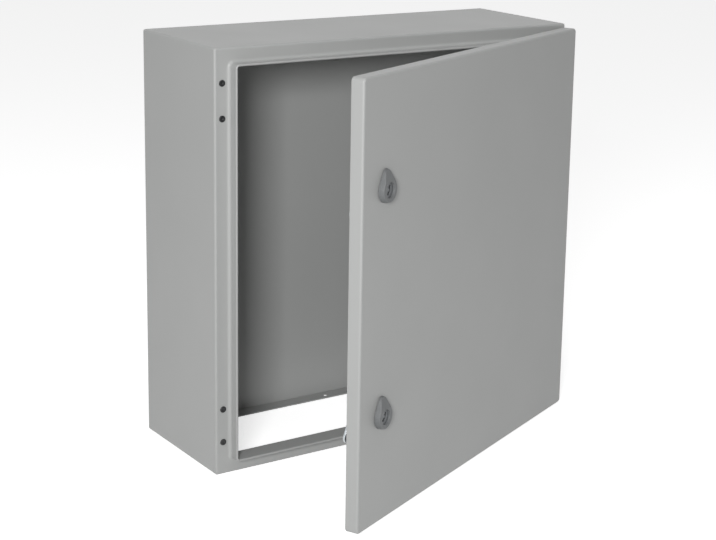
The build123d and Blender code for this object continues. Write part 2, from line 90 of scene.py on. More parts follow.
class Fastener(Enum):
    """A kind of threaded fastener, with the slot of its finish."""

    STUD = "coppered_stud"
    NUT = "zinc_plated_steel"


# Shapes


def arc(centre: Point, radius: float, start: float, end: float, steps: int) -> list[Point]:
    """Points along a circular arc.

    Args:
        centre: The centre of the arc.
        radius: Its radius.
        start: The first angle in degrees.
        end: The last angle in degrees.
        steps: The number of straight pieces.

    Returns:
        The points, both ends included.
    """
    angles = [math.radians(start + (end - start) * i / steps) for i in range(steps + 1)]
    return [(centre[0] + radius * math.cos(a), centre[1] + radius * math.sin(a)) for a in angles]


def rounded_ring(half_x: float, half_z: float, radius: float, y: float, middle_z: float = 0.0) -> Ring:
    """A rectangle with rounded corners in the plane at y, with an extra point beside each bend.

    Args:
        half_x: Half its width.
        half_z: Half its height.
        radius: The corner radius.
        y: Where the plane is.
        middle_z: The height of its middle.

    Returns:
        The points of the ring.
    """
    steps, beside = 10, BESIDE_BEND
    points = []
    for sx, sz, start in ((1, -1, -90), (1, 1, 0), (-1, 1, 90), (-1, -1, 180)):
        centre = (sx * (half_x - radius), sz * (half_z - radius) + middle_z)
        bend = arc(centre, radius, start, start + 90, steps)
        first, last = math.radians(start), math.radians(start + 90)
        before = (bend[0][0] + beside * math.sin(first), bend[0][1] - beside * math.cos(first))
        after = (bend[-1][0] - beside * math.sin(last), bend[-1][1] + beside * math.cos(last))
        points += [before, *bend, after]
    return np.array([(x, y, z) for x, z in points])


def turns() -> np.ndarray:
    """The angles of the points of a round ring, hexagon corners among them."""
    return np.arange(ROUND_SIDES) * math.tau / ROUND_SIDES


def polar_ring(radius: float | np.ndarray, y: float | np.ndarray) -> Ring:
    """A ring round the Y axis, from one radius and height or from one for each angle."""
    angles = turns()
    reach = np.broadcast_to(radius, angles.shape)
    return np.stack([reach * np.cos(angles), np.full_like(angles, y), reach * np.sin(angles)], axis=1)


def hexagon(flats: float) -> np.ndarray:
    """The radius of a hexagon at each angle, from its width across flats."""
    return flats / 2 / np.cos(turns() % (math.pi / 3) - math.pi / 6)


@dataclass(frozen=True)
class Thread:
    """A metric thread with its coarse pitch, and the width across flats of its nut."""

    radius: float
    pitch: float
    flats: float


M4 = Thread(2.0, 0.7, 7.0)
M5 = Thread(2.5, 0.8, 8.0)
M6 = Thread(3.0, 1.0, 10.0)
M8 = Thread(4.0, 1.25, 13.0)
# How deep a thread is cut, as a share of its pitch, and how loosely its nut fits.
THREAD_DEPTH = 0.55
THREAD_GAP = 0.05
# The radius and height of the collar that a weld leaves round a stud.
WELD_COLLAR = (5.5, 1.2)


def thread(radius: float, pitch: float, y: float) -> np.ndarray:
    """The radius of a screw thread at each angle, at one height along its axis."""
    phase = (y / pitch + turns() / math.tau) % 1.0
    return radius - THREAD_DEPTH * pitch * np.abs(2 * phase - 1)


def mesh_of(name: str, shape: bmesh.types.BMesh, place: Matrix | None = None) -> bpy.types.Mesh:
    """Turns a shape in millimetres into a smooth mesh in metres, and frees it.

    Args:
        name: The name of the mesh.
        shape: The shape.
        place: Where it goes, in millimetres.

    Returns:
        The mesh, with sharp edges where its faces meet at an angle.
    """
    if place is not None:
        shape.transform(place)
    shape.transform(Matrix.Scale(MM, 4))
    mesh = bpy.data.meshes.new(name)
    shape.to_mesh(mesh)
    shape.free()
    shade(mesh)
    return mesh


def shade(mesh: bpy.types.Mesh) -> None:
    """Smooths a mesh and keeps its real edges sharp."""
    mesh.shade_smooth()
    mesh.set_sharp_from_angle(angle=math.radians(SMOOTH_ANGLE))


def loft(rings: list[Ring], ends: Ends) -> bmesh.types.BMesh:
    """Joins rings of equally many points into one closed shape.

    Args:
        rings: The rings in order.
        ends: Whether the last ring joins the first, or both are closed by a face.

    Returns:
        The shape, with its faces outwards.
    """
    shape = bmesh.new()
    rows = [[shape.verts.new(p) for p in ring] for ring in rings]
    pairs = list(zip(rows, rows[1:]))
    if ends is Ends.LOOPED:
        pairs.append((rows[-1], rows[0]))
    else:
        shape.faces.new(rows[0])
        shape.faces.new(rows[-1])
    for near, far in pairs:
        for i in range(len(near)):
            k = (i + 1) % len(near)
            shape.faces.new((near[i], near[k], far[k], far[i]))
    bmesh.ops.remove_doubles(shape, verts=shape.verts, dist=1e-4)
    bmesh.ops.recalc_face_normals(shape, faces=shape.faces)
    return shape


def ease(shape: bmesh.types.BMesh, width: float, angle: float = 40.0) -> None:
    """Rounds the edges of a shape where its faces meet at more than an angle."""
    sharp = [e for e in shape.edges if len(e.link_faces) == 2 and e.calc_face_angle() > math.radians(angle)]
    bmesh.ops.bevel(shape, geom=sharp, offset=width, segments=2, profile=0.5, affect="EDGES",
                    clamp_overlap=True)


# Places in the frame


@dataclass(frozen=True)
class Swing:
    """The turn of the door about its hinge pins, from closed to the opening it has at rest."""

    pin: Vector
    degrees: float

    @classmethod
    def from_frame(cls) -> "Swing":
        """Reads the pin's place and the rest opening from the door's joint."""
        joint = next(j for j in frame["joints"] if j["child"] == "door")
        return cls(Vector(joint["pos_m"]) / MM, -joint["range_deg"][0])

    def matrix(self) -> Matrix:
        """The turn as a matrix in millimetres."""
        turn = Matrix.Rotation(math.radians(self.degrees), 4, "Z")
        return Matrix.Translation(self.pin) @ turn @ Matrix.Translation(-self.pin)


def box(node: str) -> tuple[Vector, Vector]:
    """The lowest and highest corner of a CAD node at rest, in millimetres."""
    low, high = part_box(node)
    return low / MM, high / MM


def cad_shape(node: str) -> bmesh.types.BMesh:
    """A merged copy of a CAD node's mesh, in millimetres."""
    shape = bmesh.new()
    shape.from_mesh(frame["nodes"][node].data)
    shape.transform(Matrix.Scale(1 / MM, 4))
    bmesh.ops.remove_doubles(shape, verts=shape.verts, dist=1e-3)
    return shape


def solids(node: str, unturn: Matrix) -> list[tuple[Vector, Vector]]:
    """The boxes of the separate solids of a CAD node.

    Args:
        node: The node's name.
        unturn: A matrix that the node is turned by first, in millimetres.

    Returns:
        The lowest and highest corner of each solid, from the bottom up.
    """
    shape = cad_shape(node)
    shape.transform(unturn)
    seen, boxes = set(), []
    for start in shape.verts:
        if start in seen:
            continue
        seen.add(start)
        heap, found = [start], []
        while heap:
            vert = heap.pop()
            found.append(vert.co.copy())
            beside = [e.other_vert(vert) for e in vert.link_edges]
            heap += [v for v in beside if v not in seen]
            seen.update(beside)
        low = Vector(map(min, *found))
        high = Vector(map(max, *found))
        boxes.append((low, high))
    shape.free()
    return sorted(boxes, key=lambda b: (round(b[0].z), round(b[0].x)))


def seats(node: str, towards: Vector, unturn: Matrix) -> list[Vector]:
    """Where each solid of a node stands: the middle of its side away from a direction."""
    found = []
    for low, high in solids(node, unturn):
        middle, half = (low + high) / 2, (high - low) / 2
        reach = sum(abs(t) * h for t, h in zip(towards, half))
        found.append(middle - towards * reach)
    return found


# Node trees


def linear(code: str) -> tuple[float, float, float, float]:
    """The linear colour, with full alpha, of an sRGB hex code."""
    parts = [int(code[i:i + 2], 16) / 255 for i in (1, 3, 5)]
    straight = [c / 12.92 if c <= 0.04045 else ((c + 0.055) / 1.055) ** 2.4 for c in parts]
    return (straight[0], straight[1], straight[2], 1.0)


def add_node(tree: bpy.types.NodeTree, kind: str, inputs: dict | None = None, **settings) -> bpy.types.Node:
    """Adds one node with its settings and links.

    Args:
        tree: The tree that gets the node.
        kind: The node's type.
        inputs: Values or output sockets for its inputs, by name or number.
        **settings: Properties of the node.

    Returns:
        The new node.
    """
    made = tree.nodes.new(kind)
    for name, value in settings.items():
        setattr(made, name, value)
    for key, value in (inputs or {}).items():
        if isinstance(value, bpy.types.NodeSocket):
            tree.links.new(value, made.inputs[key])
        else:
            made.inputs[key].default_value = value
    return made


def shape_tree(name: str, inputs: dict[str, str]) -> tuple[bpy.types.NodeTree, bpy.types.Node]:
    """Starts a geometry tree.

    Args:
        name: The tree's name.
        inputs: The socket type of each named input, besides the geometry and the material.

    Returns:
        The tree and its input node.
    """
    tree = bpy.data.node_groups.new(name, "GeometryNodeTree")
    tree.interface.new_socket("Geometry", in_out="INPUT", socket_type="NodeSocketGeometry")
    for label, kind in {**inputs, "Material": "NodeSocketMaterial"}.items():
        tree.interface.new_socket(label, in_out="INPUT", socket_type=kind)
    tree.interface.new_socket("Geometry", in_out="OUTPUT", socket_type="NodeSocketGeometry")
    return tree, add_node(tree, "NodeGroupInput")


def end_tree(tree: bpy.types.NodeTree, source: bpy.types.Node, shape: bpy.types.NodeSocket) -> None:
    """Ends a geometry tree with real meshes and the material."""
    real = add_node(tree, "GeometryNodeRealizeInstances", {"Geometry": shape})
    dressed = add_node(tree, "GeometryNodeSetMaterial",
                       {"Geometry": real.outputs["Geometry"], "Material": source.outputs["Material"]})
    add_node(tree, "NodeGroupOutput", {"Geometry": dressed.outputs["Geometry"]})


def row_tree() -> bpy.types.NodeTree:
    """Sets one copy of a pattern on each point, each turned by chance about its own axis."""
    tree, source = shape_tree("row_of_fasteners", {
        "Pattern": "NodeSocketObject", "Facing": "NodeSocketVector",
        "Least Turn": "NodeSocketVector", "Most Turn": "NodeSocketVector", "Seed": "NodeSocketInt",
    })
    out = source.outputs
    pattern = add_node(tree, "GeometryNodeObjectInfo", {"Object": out["Pattern"]})
    points = add_node(tree, "GeometryNodeMeshToPoints", {"Mesh": out["Geometry"]})
    facing = add_node(tree, "FunctionNodeEulerToRotation", {"Euler": out["Facing"]})
    placed = add_node(tree, "GeometryNodeInstanceOnPoints", {
        "Points": points.outputs["Points"], "Instance": pattern.outputs["Geometry"],
        "Rotation": facing.outputs["Rotation"]})
    chance = add_node(tree, "FunctionNodeRandomValue", {
        0: out["Least Turn"], 1: out["Most Turn"], "Seed": out["Seed"]}, data_type="FLOAT_VECTOR")
    twist = add_node(tree, "FunctionNodeEulerToRotation", {"Euler": chance.outputs[0]})
    turned = add_node(tree, "GeometryNodeRotateInstances", {
        "Instances": placed.outputs["Instances"], "Rotation": twist.outputs["Rotation"],
        "Local Space": True})
    end_tree(tree, source, turned.outputs["Instances"])
    return tree


def punch_tree() -> bpy.types.NodeTree:
    """Cuts a round hole through a shape at each point of another object."""
    tree, source = shape_tree("punched_holes", {
        "Places": "NodeSocketObject", "Radius": "NodeSocketFloat", "Depth": "NodeSocketFloat",
        "Facing": "NodeSocketVector",
    })
    out = source.outputs
    places = add_node(tree, "GeometryNodeObjectInfo", {"Object": out["Places"]})
    points = add_node(tree, "GeometryNodeMeshToPoints", {"Mesh": places.outputs["Geometry"]})
    punch = add_node(tree, "GeometryNodeMeshCylinder", {
        "Vertices": 32, "Radius": out["Radius"], "Depth": out["Depth"]})
    facing = add_node(tree, "FunctionNodeEulerToRotation", {"Euler": out["Facing"]})
    placed = add_node(tree, "GeometryNodeInstanceOnPoints", {
        "Points": points.outputs["Points"], "Instance": punch.outputs["Mesh"],
        "Rotation": facing.outputs["Rotation"]})
    real = add_node(tree, "GeometryNodeRealizeInstances", {"Geometry": placed.outputs["Instances"]})
    cut = add_node(tree, "GeometryNodeMeshBoolean", {
        "Mesh 1": out["Geometry"], "Mesh 2": real.outputs["Geometry"]},
        operation="DIFFERENCE", solver="EXACT")
    end_tree(tree, source, cut.outputs["Mesh"])
    return tree


def bead_tree() -> bpy.types.NodeTree:
    """Lays a foamed bead along a rectangle with rounded corners, with a slightly uneven skin."""
    tree, source = shape_tree("foamed_bead", {
        "Width": "NodeSocketFloat", "Height": "NodeSocketFloat", "Corner": "NodeSocketFloat",
        "Bead Width": "NodeSocketFloat", "Bead Height": "NodeSocketFloat", "Bead Edge": "NodeSocketFloat",
        "Unevenness": "NodeSocketFloat", "Grain": "NodeSocketFloat",
    })
    out = source.outputs
    path = add_node(tree, "GeometryNodeCurvePrimitiveQuadrilateral", {
        "Width": out["Width"], "Height": out["Height"]}, mode="RECTANGLE")
    bent = add_node(tree, "GeometryNodeFilletCurve", {
        "Curve": path.outputs["Curve"], "Count": 12, "Radius": out["Corner"]}, mode="POLY")
    dense = add_node(tree, "GeometryNodeResampleCurve", {
        "Curve": bent.outputs["Curve"], "Length": BEAD_STEP * MM}, mode="LENGTH")
    section = add_node(tree, "GeometryNodeCurvePrimitiveQuadrilateral", {
        "Width": out["Bead Width"], "Height": out["Bead Height"]}, mode="RECTANGLE")
    rounded = add_node(tree, "GeometryNodeFilletCurve", {
        "Curve": section.outputs["Curve"], "Count": 5, "Radius": out["Bead Edge"]}, mode="POLY")
    swept = add_node(tree, "GeometryNodeCurveToMesh", {
        "Curve": dense.outputs["Curve"], "Profile Curve": rounded.outputs["Curve"]})
    noise = add_node(tree, "ShaderNodeTexNoise", {"Scale": out["Grain"], "Detail": 2.0})
    centred = add_node(tree, "ShaderNodeMath", {0: noise.outputs[0], 1: 0.5}, operation="SUBTRACT")
    height = add_node(tree, "ShaderNodeMath", {
        0: centred.outputs[0], 1: out["Unevenness"]}, operation="MULTIPLY")
    normal = add_node(tree, "GeometryNodeInputNormal")
    push = add_node(tree, "ShaderNodeVectorMath", {
        0: normal.outputs["Normal"], "Scale": height.outputs[0]}, operation="SCALE")
    uneven = add_node(tree, "GeometryNodeSetPosition", {
        "Geometry": swept.outputs["Mesh"], "Offset": push.outputs["Vector"]})
    end_tree(tree, source, uneven.outputs["Geometry"])
    return tree


def run_tree(piece: bpy.types.Object, tree: bpy.types.NodeTree, values: dict) -> None:
    """Runs a geometry tree on a piece and keeps the result as its plain mesh.

    Args:
        piece: The object that the tree starts from.
        tree: The tree.
        values: A value for each named input.
    """
    modifier = piece.modifiers.new(tree.name, "NODES")
    modifier.node_group = tree
    for item in tree.interface.items_tree:
        if item.item_type == "SOCKET" and item.in_out == "INPUT" and item.name in values:
            modifier[item.identifier] = values[item.name]
    settle(piece)


def settle(piece: bpy.types.Object) -> None:
    """Replaces a piece's mesh by its evaluated one and removes its modifiers."""
    piece.data.update()
    depsgraph = bpy.context.evaluated_depsgraph_get()
    result = bpy.data.meshes.new_from_object(piece.evaluated_get(depsgraph), depsgraph=depsgraph)
    piece.modifiers.clear()
    piece.data = result


# Finishes


def new_material(name: str) -> tuple[bpy.types.Material, bpy.types.NodeTree, bpy.types.NodeSocket]:
    """Starts a material.

    Args:
        name: Its name.

    Returns:
        The material, its tree and the object coordinates that its patterns use.
    """
    material = bpy.data.materials.new(name)
    material.use_nodes = True
    material.node_tree.nodes.clear()
    coords = add_node(material.node_tree, "ShaderNodeTexCoord")
    return material, material.node_tree, coords.outputs["Object"]


def close_material(tree: bpy.types.NodeTree, shader: bpy.types.NodeSocket) -> None:
    """Connects the last shader of a material to its output."""
    add_node(tree, "ShaderNodeOutputMaterial", {"Surface": shader})


def per_mm(size: float) -> float:
    """The scale of a pattern whose features are this many millimetres apart."""
    return 1 / (size * MM)


@dataclass(frozen=True)
class PowderCoat:
    """Polyester powder coat on sheet steel: sprayed dry and baked, semi-matt with soft orange peel."""

    name: str
    colour: str = "#A6A7A6"
    cloud_colour: str = "#A2A3A2"
    cloud_size: float = 140.0
    # Real orange peel is about 1.5 mm across. It is drawn coarser, so that it shows at all.
    peel_size: float = 5.0
    peel_height: float = 0.010
    roughness: Point = (0.40, 0.48)

    def build(self) -> bpy.types.Material:
        """Makes the material."""
        material, tree, coords = new_material(self.name)
        cloud = add_node(tree, "ShaderNodeTexNoise", {"Vector": coords, "Scale": per_mm(self.cloud_size),
                                                      "Detail": 2.0})
        colour = add_node(tree, "ShaderNodeMix", {
            "Factor": cloud.outputs["Fac"], 6: linear(self.colour), 7: linear(self.cloud_colour)},
            data_type="RGBA")
        peel = add_node(tree, "ShaderNodeTexNoise", {"Vector": coords, "Scale": per_mm(self.peel_size),
                                                     "Detail": 1.5})
        bump = add_node(tree, "ShaderNodeBump", {
            "Height": peel.outputs["Fac"], "Distance": self.peel_height * MM, "Strength": 1.0})
        gloss = add_node(tree, "ShaderNodeMapRange", {
            "Value": cloud.outputs["Fac"], "To Min": self.roughness[0], "To Max": self.roughness[1]})
        shader = add_node(tree, "ShaderNodeBsdfPrincipled", {
            "Base Color": colour.outputs[2], "Roughness": gloss.outputs["Result"], "IOR": 1.5,
            "Normal": bump.outputs["Normal"]})
        close_material(tree, shader.outputs["BSDF"])
        return material


@dataclass(frozen=True)
class BareMetal:
    """Metal that shows: plated, cast or copper flashed, with fine mottling from its bath or mould."""

    name: str
    colour: str
    stain_colour: str
    # The grain of the plating is far finer than this, and is drawn as coarse as a close view can show.
    mottle_size: float = 1.6
    mottle_height: float = 0.004
    metallic: float = 1.0
    roughness: Point = (0.26, 0.42)

    def build(self) -> bpy.types.Material:
        """Makes the material."""
        material, tree, coords = new_material(self.name)
        mottle = add_node(tree, "ShaderNodeTexNoise", {
            "Vector": coords, "Scale": per_mm(self.mottle_size), "Detail": 3.0})
        colour = add_node(tree, "ShaderNodeMix", {
            "Factor": mottle.outputs["Fac"], 6: linear(self.colour), 7: linear(self.stain_colour)},
            data_type="RGBA")
        gloss = add_node(tree, "ShaderNodeMapRange", {
            "Value": mottle.outputs["Fac"], "From Min": 0.3, "From Max": 0.7,
            "To Min": self.roughness[0], "To Max": self.roughness[1]})
        bump = add_node(tree, "ShaderNodeBump", {
            "Height": mottle.outputs["Fac"], "Distance": self.mottle_height * MM, "Strength": 1.0})
        shader = add_node(tree, "ShaderNodeBsdfPrincipled", {
            "Base Color": colour.outputs[2], "Roughness": gloss.outputs["Result"],
            "Metallic": self.metallic, "Normal": bump.outputs["Normal"]})
        close_material(tree, shader.outputs["BSDF"])
        return material


@dataclass(frozen=True)
class MouldedPolymer:
    """Moulded plastic, rubber or foam, with the fine texture of its tool or its pores."""

    name: str
    colour: str
    pale_colour: str
    texture_size: float
    texture_height: float
    roughness: Point
    sheen: float = 0.0

    def build(self) -> bpy.types.Material:
        """Makes the material."""
        material, tree, coords = new_material(self.name)
        texture = add_node(tree, "ShaderNodeTexNoise", {
            "Vector": coords, "Scale": per_mm(self.texture_size), "Detail": 2.0})
        colour = add_node(tree, "ShaderNodeMix", {
            "Factor": texture.outputs["Fac"], 6: linear(self.colour), 7: linear(self.pale_colour)},
            data_type="RGBA")
        gloss = add_node(tree, "ShaderNodeMapRange", {
            "Value": texture.outputs["Fac"], "To Min": self.roughness[0], "To Max": self.roughness[1]})
        bump = add_node(tree, "ShaderNodeBump", {
            "Height": texture.outputs["Fac"], "Distance": self.texture_height * MM, "Strength": 1.0})
        shader = add_node(tree, "ShaderNodeBsdfPrincipled", {
            "Base Color": colour.outputs[2], "Roughness": gloss.outputs["Result"], "IOR": 1.5,
            "Sheen Weight": self.sheen, "Normal": bump.outputs["Normal"]})
        close_material(tree, shader.outputs["BSDF"])
        return material


def finishes() -> dict[str, bpy.types.Material]:
    """The material of each of the record's material slots."""
    makers = {
        # Light grey powder coat: an even, semi-matt skin whose bends catch a soft highlight.
        "cabinet_coat": PowderCoat("powder_coated_steel_cabinet"),
        "door_coat": PowderCoat("powder_coated_steel_door"),
        # Zinc plated steel: bright, a little blue, and mottled by the bath.
        "zinc_plated_steel": BareMetal("zinc_plated_steel", "#C3C7CA", "#A9AEB2"),
        # Die-cast zinc, tumbled: duller and greyer than plate.
        "hinge_zinc": BareMetal("die_cast_zinc_hinge", "#A8AAAA", "#8F9192", roughness=(0.38, 0.52)),
        "lock_insert_zinc": BareMetal("die_cast_zinc_insert", "#7E8082", "#707274", roughness=(0.5, 0.6)),
        # Copper flashed weld studs: a thin pink-brown copper over steel.
        "coppered_stud": BareMetal("copper_flashed_steel", "#C98A62", "#A9694A"),
        # Glass filled polyamide: mid grey, matt, with the fine spark texture of its tool.
        "lock_plastic": MouldedPolymer("polyamide_lock_grey", "#6A6C6D", "#656768", 0.9, 0.010,
                                       (0.5, 0.58)),
        # Polyethylene plugs: near black with a soft gloss.
        "plug_plastic": MouldedPolymer("polyethylene_plug_dark", "#1D1E1F", "#252627", 0.8, 0.006,
                                       (0.3, 0.38)),
        # Foamed polyurethane: dark, soft, with a closed skin full of fine pores.
        "seal_foam": MouldedPolymer("polyurethane_foam_seal", "#3B3C3D", "#2E2F30", 0.7, 0.08, (0.75, 0.9),
                                    sheen=0.15),
        # Nitrile rubber gasket: black and matt.
        "gasket_rubber": MouldedPolymer("nitrile_rubber_gasket", "#1C1C1D", "#242425", 0.8, 0.01,
                                        (0.6, 0.7)),
    }
    return {slot: maker.build() for slot, maker in makers.items()}


# Pieces


@dataclass
class Shop:
    """What every sub-assembly needs: the finishes, the door's swing and the shared node trees."""

    finishes: dict[str, bpy.types.Material]
    swing: Swing
    rows: bpy.types.NodeTree
    punches: bpy.types.NodeTree
    beads: bpy.types.NodeTree

    @classmethod
    def open(cls) -> "Shop":
        """Makes the finishes and the trees."""
        return cls(finishes(), Swing.from_frame(), row_tree(), punch_tree(), bead_tree())

    def link(self, mesh: bpy.types.Mesh) -> bpy.types.Object:
        """Puts a mesh into the scene as an object of the same name."""
        piece = bpy.data.objects.new(mesh.name, mesh)
        bpy.context.scene.collection.objects.link(piece)
        return piece

    def dress(self, piece: bpy.types.Object, body: str, slot: str, *nodes: str) -> bpy.types.Object:
        """Gives a piece the finish of its slot, puts it on its body, and hides the CAD nodes that it stands
        for.
        """
        piece.data.materials.clear()
        piece.data.materials.append(self.finishes[slot])
        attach(piece, body)
        if nodes:
            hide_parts(*nodes)
        log.info("%s: %d faces on %s", piece.name, len(piece.data.polygons), body)
        return piece

    def points(self, places: list[Vector]) -> bpy.types.Object:
        """An object with one loose point at each place, given in millimetres."""
        mesh = bpy.data.meshes.new("places")
        mesh.from_pydata([tuple(p * MM) for p in places], [], [])
        return self.link(mesh)

    def punch(self, piece: bpy.types.Object, places: list[Vector], radius: float, depth: float,
              facing: Vector) -> None:
        """Cuts round holes through a piece.

        Args:
            piece: The piece.
            places: The middle of each hole.
            radius: The radius of the holes.
            depth: How long the punch is.
            facing: The turn from the Z axis to the punch's axis, in degrees.
        """
        marks = self.points(places)
        run_tree(piece, self.punches, {
            "Places": marks, "Radius": radius * MM, "Depth": depth * MM,
            "Facing": tuple(math.radians(a) for a in facing), "Material": None})
        remove(marks)
        shade(piece.data)

    def row(self, name: str, pattern: bpy.types.Mesh, places: list[Vector], facing: float, seed: int,
            body: str, slot: str, *nodes: str) -> bpy.types.Object:
        """Sets one fastener at each place.

        Args:
            name: The name of the piece.
            pattern: The fastener's mesh, standing at the origin and pointing along -Y.
            places: Where the fasteners stand.
            facing: The turn about Z to where they point, in degrees.
            seed: The seed of their turns about their own axis.
            body: The body that they ride on.
            slot: The material slot.
            *nodes: The CAD nodes that they stand for.

        Returns:
            The row as one piece.
        """
        sample = self.link(pattern)
        piece = self.points(places)
        run_tree(piece, self.rows, {
            "Pattern": sample, "Facing": (0.0, 0.0, math.radians(facing)),
            "Least Turn": (0.0, 0.0, 0.0), "Most Turn": (0.0, math.pi, 0.0), "Seed": seed,
            "Material": self.finishes[slot]})
        remove(sample)
        piece.name = piece.data.name = name
        return self.dress(piece, body, slot, *nodes)

    def eased(self, node: str, body: str, slot: str, width: float = 0.25) -> bpy.types.Object:
        """A copy of a CAD node with whole faces and slightly rounded edges, which stands for the node."""
        shape = cad_shape(node)
        bmesh.ops.dissolve_limit(shape, angle_limit=math.radians(1.0), verts=shape.verts, edges=shape.edges)
        ease(shape, width)
        return self.dress(self.link(mesh_of(node + "_eased", shape)), body, slot, node)


def remove(thing: bpy.types.Object) -> None:
    """Deletes a helper object."""
    bpy.data.objects.remove(thing)


# Fastener patterns, each standing at the origin and pointing along -Y


def stud_pattern(size: Thread, length: float, welded: bool) -> bpy.types.Mesh:
    """A threaded stud.

    Args:
        size: Its thread.
        length: Its length, with its chamfered tip.
        welded: Whether it stands in a weld collar.

    Returns:
        The mesh.
    """
    rings = []
    start = 0.0
    if welded:
        wide, high = WELD_COLLAR
        side, top = 0.6 * high, 0.9 * wide
        rings += [polar_ring(wide, 0.0), polar_ring(wide, -side), polar_ring(top, -high)]
        start = high
    tip = 0.78 * size.radius
    steps = max(4, round((length - start) / size.pitch * 4))
    for i in range(steps + 1):
        along = start + (length - start) * i / steps
        reach = np.minimum(thread(size.radius, size.pitch, along), tip + (length - along))
        rings.append(polar_ring(reach, -along))
    return mesh_of("stud_pattern", loft(rings, Ends.CAPPED))


def nut_pattern(flats: float, hole: float, height: float) -> bpy.types.Mesh:
    """A hexagon nut with chamfered corners and a threaded hole.

    Args:
        flats: The width across flats.
        hole: The radius of the hole.
        height: The height.

    Returns:
        The mesh.
    """
    full = hexagon(flats)
    slope, lead, face = 1.7, 0.25, 0.96 * flats / 2
    rings = []
    for along in (0.0, 0.06, 0.12, 0.2, 0.8, 0.88, 0.94, 1.0):
        depth = min(along, 1 - along) * height
        rings.append(polar_ring(np.minimum(full, face + slope * depth), -along * height))
    rings += [polar_ring(hole + lead, -height), polar_ring(hole, -height + lead), polar_ring(hole, -lead),
              polar_ring(hole + lead, 0.0)]
    return mesh_of("nut_pattern", loft(rings, Ends.LOOPED))


def countersunk_pattern(head: float, size: Thread, cone: float, length: float,
                        socket: Point) -> bpy.types.Mesh:
    """A countersunk screw with a hexagon socket, its head's flat face at the origin.

    Args:
        head: The radius of the head.
        size: Its thread.
        cone: The height of the head's cone.
        length: The whole length.
        socket: The socket's width across flats and its depth.

    Returns:
        The mesh, its shank pointing along +Y.
    """
    flats, deep = socket
    hole = hexagon(flats)
    point, point_depth = 0.3 * hole, 0.3
    mouth, mouth_depth = 1.06 * hole, 0.15
    edge, crest, under = 0.25, 0.05, 0.1
    rings = [polar_ring(point, deep + point_depth), polar_ring(hole, deep), polar_ring(hole, mouth_depth),
             polar_ring(mouth, 0.0), polar_ring(head - edge, 0.0), polar_ring(head - crest, edge / 2),
             polar_ring(head - edge, edge + under), polar_ring(size.radius, cone)]
    tip = 0.75 * size.radius
    steps = round((length - cone) / size.pitch * 4)
    for i in range(1, steps + 1):
        along = cone + (length - cone) * i / steps
        reach = np.minimum(thread(size.radius, size.pitch, along), tip + (length - along))
        rings.append(polar_ring(reach, along))
    return mesh_of("countersunk_pattern", loft(rings, Ends.CAPPED))


# Sub-assemblies


@dataclass(frozen=True)
class Plug:
    """A snap plug: a domed head with a dimple, a stem and a barb."""

    head: float = 4.6
    rise: float = 1.2
    dome: float = 0.9
    skirt: float = 0.3
    dimple: float = 1.25
    dimple_lip: float = 0.25
    dish: tuple[Point, ...] = ((0.25, 0.55), (0.7, 0.45), (1.0, 0.1))
    stem_gap: float = 0.1
    neck: float = 0.2
    barb_reach: float = 0.45
    barb_start: float = 0.5
    barb_end: float = 1.2
    barb_taper: float = 0.1
    tail_taper: float = 0.2
    tail_chamfer: Point = (0.9, 0.8)

    def profile(self, hole: float, sheet: float, tail: float) -> list[Point]:
        """Its section: the radius, and how far behind the front of the rim.

        Args:
            hole: The radius of the hole that it fills.
            sheet: How thick the rim is.
            tail: Where it ends.

        Returns:
            The points, from the dimple to the tail.
        """
        stem, barb = hole - self.stem_gap, hole + self.barb_reach
        path = [(share * self.dimple, -self.rise + deep) for share, deep in self.dish]
        path.append((self.dimple + self.dimple_lip, -self.rise))
        path += [(self.head - self.dome + x, y) for x, y in arc((0.0, -self.skirt), self.dome, -90, 0, 6)]
        path += [(self.head, 0.0), (stem, 0.0), (stem, sheet + self.neck), (barb, sheet + self.barb_start),
                 (barb - self.barb_taper, sheet + self.barb_end)]
        narrow, short = self.tail_chamfer
        path += [(stem - self.tail_taper, tail - short), (stem - narrow, tail)]
        return path


